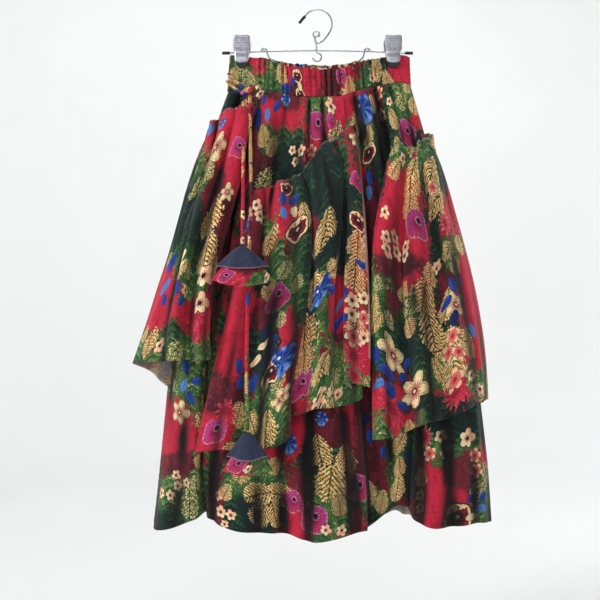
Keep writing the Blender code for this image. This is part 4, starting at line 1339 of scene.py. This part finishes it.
def plain_cloth(name, tint, edge_tint):
    """A plain weave with a paler stitched edge."""
    made, tree, shader = new_material(name, 0.85)
    across, down, to_hem = attribute(tree, "cloth")
    worn = noise(tree, across, down, 9.0, 12.0, 3.0, 4.0)
    colour = mixed(tree, worn.ramp(0.3, 0.8) * 0.35, tint, NAVY_WORN)
    stitch = to_hem.under(1.6) * (across / 1.9).fract().under(0.7)
    colour = mixed(tree, stitch * 0.75, colour, edge_tint)
    tree.links.new(colour, shader.inputs["Base Color"])
    shader.inputs["Sheen Weight"].default_value = 0.1
    bumped(tree, shader, weave(tree, across, down), 0.0004)
    return made


def place_noise(tree, size, detail=3.0):
    """Noise by place on the object, with features of that size in metres."""
    where = tree.nodes.new("ShaderNodeTexCoord")
    node = tree.nodes.new("ShaderNodeTexNoise")
    node.inputs["Scale"].default_value = 1 / size
    node.inputs["Detail"].default_value = detail
    tree.links.new(where.outputs["Object"], node.inputs["Vector"])
    return Term(tree, node.outputs["Fac"])


def metal(name, tint, dull_tint, roughness):
    """Polished wire with faint handling marks."""
    made, tree, shader = new_material(name, roughness)
    shader.inputs["Metallic"].default_value = 1.0
    marks = place_noise(tree, 0.006)
    colour = mixed(tree, marks.ramp(0.42, 0.75) * 0.5, tint, dull_tint)
    tree.links.new(colour, shader.inputs["Base Color"])
    spread = marks.ramp(0.3, 0.8) * 0.16 + roughness
    tree.links.new(spread.socket, shader.inputs["Roughness"])
    return made


def rubber(name):
    made, tree, shader = new_material(name, 0.5)
    dust = place_noise(tree, 0.004)
    colour = mixed(tree, dust.ramp(0.5, 0.8) * 0.5, "#101114", "#2B2C30")
    tree.links.new(colour, shader.inputs["Base Color"])
    bumped(tree, shader, place_noise(tree, 0.0008, 1.0), 0.0002)
    return made


def label_tape(name):
    made, tree, shader = new_material(name, 0.7)
    colour = mixed(tree, place_noise(tree, 0.003).ramp(0.3, 0.7) * 0.5, "#E9E7E1", "#CFCBC2")
    tree.links.new(colour, shader.inputs["Base Color"])
    bumped(tree, shader, place_noise(tree, 0.0006, 1.0), 0.0002)
    return made


def wall_paint(name):
    made, tree, shader = new_material(name, 0.9)
    colour = mixed(tree, place_noise(tree, 0.5).ramp(0.3, 0.7) * 0.3, "#EFF0F0", "#E8E9E9")
    tree.links.new(colour, shader.inputs["Base Color"])
    return made


# ---- making the pieces ----
def build_camera():
    data = bpy.data.cameras.new("camera")
    data.lens, data.sensor_width = LENS, SENSOR
    camera = bpy.data.objects.new("camera", data)
    camera.location = [value * MM for value in CAMERA_AT]
    camera.rotation_euler = (math.pi / 2, 0, 0)
    bpy.context.scene.collection.objects.link(camera)
    bpy.context.scene.camera = camera


def tube(path, radius, wall, around=20, waver=0.06, seed=1):
    """Cloth sewn into a narrow tube along a path of points (x, out, z)."""
    draw = np.random.default_rng(seed)
    path = np.array(path)
    ahead = np.gradient(path, axis=0)
    ahead /= np.linalg.norm(ahead, axis=1, keepdims=True)
    side = np.cross(ahead, (0.0, 1.0, 0.0))
    side /= np.linalg.norm(side, axis=1, keepdims=True)
    front = np.cross(side, ahead)
    angle = 2 * math.pi * np.arange(around + 1) / around
    swell = 1 + waver * np.interp(np.arange(len(path)), np.arange(0, len(path), 3),
                                  draw.uniform(-1, 1, len(range(0, len(path), 3))))
    ring = swell[:, None] * (radius - wall) * (1 + 0.05 * np.cos(3 * angle + 1))[None, :]
    return (path[:, None] + side[:, None] * (ring * np.cos(angle))[..., None]
            - front[:, None] * (ring * np.sin(angle))[..., None])


def route(points, parts):
    """A smooth route through points (x, out, z)."""
    return through(np.array(points, float)[None], parts)[0]


def in_metres(points):
    return [(x * MM, -out * MM, z * MM) for x, out, z in points]


def strand(name, points, parts, radius, looks, seed):
    """A sewn tie along its points."""
    path = route(points, parts)
    cloth = Cloth(tube(path, radius, TUBE_WALL, seed=seed), TUBE_WALL, FULLNESS["tie"], closed=True)
    piece = build_cloth(name, cloth, looks, "ties", seed)
    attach(piece, "root")
    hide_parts(name)
    return piece, path


def build_ties(looks):
    strand("tie_upper", TIE_UPPER, 8, TIE_RADIUS, looks, 3)
    strand("tie_lower", TIE_LOWER, 8, TIE_RADIUS, looks, 4)
    strand("tie_knot", TIE_KNOT, 8, KNOT_RADIUS, looks, 5)
    short = strand("cord_short", CORD_SHORT, 10, CORD_RADIUS, looks, 6)
    long = strand("cord_long", CORD_LONG, 10, CORD_RADIUS, looks, 7)
    return short, long


def build_tassels(looks):
    made = {}
    for number, (name, apex, half_width, half_depth, height, drop, lobes) in enumerate(TASSELS):
        rows = tassel_rows(np.linspace(0, 1, 34), 140, apex, half_width, half_depth, drop, height, lobes)
        cloth = Cloth(rows, TASSEL_CLOTH, FULLNESS["tie"], closed=True)
        cloth.push(gathers(cloth, 40 + number, 10, 2.2, 60) + ripple(cloth, 50 + number, 26, 1.2))
        lining = "lining" in name
        pair = (looks["navy"], looks["navy"]) if lining else (looks["ruffle"], looks["reverse"])
        piece = build_cloth(name, cloth, pair, "tassels", 60 + number)
        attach(piece, "root")
        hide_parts(name)
        made[name] = piece
    return made


def declare_cord(piece, path, length, lining, cloth):
    """A free tie end, which leaves the knot or the waistband and ends in its tassel: only its path is turned
    into metres here.
    """
    line = in_metres(path)


def build_band(looks):
    """The gathered casing: flatter under the clips, and drawn in along its two rows of stitches."""
    cloth = Cloth(band_rows(np.linspace(0, 1, 30), 22), BAND_CLOTH, FULLNESS["band"], closed=True)
    pinched = np.clip((118 - np.abs(cloth.grid[..., 0])) / 16, 0.22, 1)
    sunk = cloth.down / cloth.down[-1:]
    rows = 1 - 0.5 * np.exp(-(((sunk - 0.34) / 0.02) ** 2)) - 0.5 * np.exp(-(((sunk - 0.67) / 0.02) ** 2))
    frill = gathers(cloth, 11, 7.0, 4.4, 400, 0.0) + gathers(cloth, 12, 12.0, 2.0, 90, 0.0)
    # The band's painted furrow shade is darkest where a furrow is 3.4 mm deep.
    cloth.push((frill * rows - 3.0) * pinched, 3.4)
    top = np.clip(1 - cloth.down / 7, 0, 1)
    draw = np.random.default_rng(13)
    waver = np.interp(cloth.share, np.linspace(0, 1, 120), np.append(draw.uniform(-1, 1, 119), 0))
    cloth.grid[..., 2] += 1.4 * top * waver
    piece = build_cloth("waistband", cloth, looks, "waistband", 14, "some")
    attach(piece, "root")
    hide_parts("waistband")
    cloth.cut * MM
    0.8 * cloth.cut * cloth.length * MM * MM


def build_body(looks):
    """The two panels, each calm at its side seams and just under the waistband."""
    for name, back, seed in (("body_front", False, 21), ("body_back", True, 22)):
        cloth = Cloth(body_rows(np.linspace(0, 1, 120), back, 12), CLOTH, FULLNESS["body"])
        calm = np.clip(np.minimum(cloth.share, 1 - cloth.share) / 0.02, 0, 1)
        calm = calm * np.clip(cloth.down / 8, 0.25, 1)
        small = gathers(cloth, seed, 8.0, 2.6, 60) + gathers(cloth, seed + 2, 19.0, 12.0, 260)
        small = np.minimum(small - 11.0 * np.exp(-cloth.down / 260), 2.0)
        cloth.push((small + creases(cloth, CREASES[name]) + ripple(cloth, seed, 80, 5.0)) * calm)
        cloth.measure(FULLNESS["body"])
        piece = build_cloth(name, cloth, looks, name, seed, "all" if back else "none")
        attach(piece, "root")
        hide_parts(name)
        min(cloth.area, cloth.hem * cloth.length) * MM * MM


def headed(rows):
    """Adds the ruffle's narrow heading above its seam, standing a little free."""
    side = np.clip(rows[:1, :, 1:2] / 10, -1, 1)
    heading = [rows[:1] + side * (0, stand, 0) + np.abs(side) * (0, 0, rise) + (0, 0, 0.1 * rise)
               for rise, stand in ((5, 1.2), (3.4, 0.6), (1.7, 0.1))]
    return np.concatenate(heading + [rows])


def build_ruffles(looks):
    tiers = (("ruffle_left", LEFT_FOLDS[::-1], 31), ("ruffle_centre", CENTRE_FOLDS, 32),
             ("ruffle_right", RIGHT_FOLDS, 33))
    for name, folds, seed in tiers:
        rows = headed(ruffle_rows(folds, np.linspace(0, 1, 96), 13))
        cloth = Cloth(rows, TIER_CLOTH, FULLNESS["ruffle"])
        small = gathers(cloth, seed, 7.0, 2.4, 45) + gathers(cloth, seed + 5, 17.0, 11.0, 210)
        cloth.push(small + creases(cloth, CREASES[name]) + ripple(cloth, seed, 80, 2.6))
        cloth.measure(FULLNESS["ruffle"])
        centre = name == "ruffle_centre"
        piece = build_cloth(name, cloth, looks, name, seed, "none" if centre else "some",
                            turned=TURNED_EDGE if centre else 0.0)
        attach(piece, "root")
        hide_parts(name)
        min(cloth.area, cloth.hem * cloth.length) * MM * MM


def clip_plates(steel):
    """Finer plates for the clips: bent the same way, with ribs on the finger pads and rounded corners."""
    share = np.linspace(0, 1, 90)[:, None]
    side = np.linspace(-1, 1, 41)[None, :]
    table = np.array(CLIP_PLATE)
    out, rise, half = (np.interp(share, np.linspace(0, 1, len(table)), table[:, i]) for i in range(3))
    top, bottom = share * CLIP_LENGTH, (1 - share) * CLIP_LENGTH
    corner = np.clip(CLIP_CORNER - top, 0, CLIP_CORNER)
    half = half - CLIP_CORNER + np.sqrt(np.clip(CLIP_CORNER**2 - corner**2, 0, None))
    half = half * np.sqrt(np.clip(1 - np.clip(1 - bottom / 7, 0, 1) ** 2, 0.03, 1))
    ribs = RIB_HEIGHT * (0.5 + 0.5 * np.cos(2 * math.pi * (top - RIBBED_FROM) / RIB_PITCH))
    ribs = ribs * (top < RIBBED_TO) * (top > RIBBED_FROM)
    lip = 1.0 * np.exp(-((top / 2.0) ** 2)) + 0.9 * np.exp(-(((top - 24) / 2.2) ** 2))
    crown = (ribs + lip) * np.sqrt(np.clip(1 - side**8, 0, 1)) - 1.6 * np.abs(side) ** 5
    for tag, x0 in (("left", -CLIP_X), ("right", CLIP_X)):
        z0 = BAR_HEIGHT + BAR_ARCH * (1 - (x0 / BAR_HALF) ** 2)
        for face, flip in (("front", 1), ("back", -1)):
            x = x0 + side * half * flip
            rows = np.stack([x, (out + crown) * flip, z0 + rise + 0 * side], axis=-1)
            plate = Cloth(rows, CLIP_WALL, FULLNESS["tie"])
            name = f"clip_{tag}_{face}"
            piece = build_cloth(name, plate, (steel, steel), skin=CLIP_WALL)
            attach(piece, "root")
            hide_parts(name)


def finish_hanger():
    """The hanger's other solids keep their shape and get their finishes."""
    chrome = metal("hanger_wire", "#B8BABE", "#82848A", 0.16)
    clip_plates(metal("clip_steel", "#B4B3BD", "#7E7D88", 0.3))
    spring = metal("spring_wire", "#77797E", "#4A4B50", 0.3)
    black = rubber("black_rubber")
    tape = label_tape("label_tape")
    for name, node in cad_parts.items():
        look = None
        if name.startswith(("hanger_", "neck_")):
            look = chrome
        elif "spring" in name:
            look = spring
        elif name.startswith(("bar_cap", "hook_tip")) or "pad" in name:
            look = black
        elif name == "label":
            look = tape
        if look is not None:
            for slot in node.material_slots:
                slot.material = look


def turned_profile(profile, around):
    """The points and faces of a profile (radius, z) turned about the upright axis, closed at its middle."""
    turns = [2 * math.pi * i / around for i in range(around)]
    points = [(0, 0, profile[0][1])]
    points += [(radius * math.cos(a), radius * math.sin(a), z) for radius, z in profile for a in turns]
    faces = [(0, 1 + i, 1 + (i + 1) % around) for i in range(around)]
    for ring in range(len(profile) - 1):
        inner, outer = 1 + ring * around, 1 + (ring + 1) * around
        for i in range(around):
            j = (i + 1) % around
            faces.append((inner + i, outer + i, outer + j, inner + j))
    return points, faces


def build_room():
    """A round studio: a pale floor that curves up into a wall all round, and soft lights inside it."""
    profile = [(0.5, ROOM_FLOOR)]
    for i in range(13):
        angle = math.pi / 2 * i / 12
        profile.append((ROOM_RADIUS - ROOM_BEND + ROOM_BEND * math.sin(angle),
                        ROOM_FLOOR + ROOM_BEND - ROOM_BEND * math.cos(angle)))
    profile.append((ROOM_RADIUS, ROOM_TOP))
    points, faces = turned_profile(profile, 64)
    data = bpy.data.meshes.new("studio_wall")
    data.from_pydata(points, [], faces)
    data.shade_smooth()
    data.materials.append(wall_paint("wall"))
    room = bpy.data.objects.new("studio_wall", data)
    bpy.context.scene.collection.objects.link(room)
    for name, place, target, size, power in LAMPS:
        lamp = bpy.data.lights.new(name, "AREA")
        lamp.size, lamp.energy = size, power
        holder = bpy.data.objects.new(name, lamp)
        holder.visible_camera = False
        holder.location = place
        away = [t - p for p, t in zip(place, target)]
        flat = math.hypot(away[0], away[1])
        holder.rotation_euler = (math.atan2(flat, -away[2]), 0, math.atan2(away[1], away[0]) - math.pi / 2)
        bpy.context.scene.collection.objects.link(holder)
    world = bpy.data.worlds.new("studio")
    bpy.context.scene.world = world
    world.use_nodes = True
    backdrop = world.node_tree.nodes["Background"]
    backdrop.inputs["Color"].default_value = linear("#F1F3F6")
    backdrop.inputs["Strength"].default_value = 0.05


def main():
    bpy.context.scene.view_settings.view_transform = "Standard"
    build_camera()
    group = print_group()
    looks = {name: printed_cloth(name, group, False)
             for name in ("body_print", "ruffle_print", "waistband_print", "tie_print")}
    reverse = printed_cloth("print_reverse", group, True)
    navy = plain_cloth("navy_lining", NAVY, NAVY_EDGE)
    short, long = build_ties((looks["tie_print"], reverse))
    tassels = build_tassels({"navy": navy, "ruffle": looks["ruffle_print"], "reverse": reverse})
    for cord, end, length in ((short, "upper", CORD_SHORT_LENGTH), (long, "lower", CORD_LONG_LENGTH)):
        declare_cord(*cord, length, tassels[f"tassel_{end}_lining"], tassels[f"tassel_{end}_cloth"])
    build_band((looks["waistband_print"], looks["waistband_print"]))
    build_body((looks["body_print"], reverse))
    build_ruffles((looks["ruffle_print"], reverse))
    finish_hanger()
    build_room()


main()
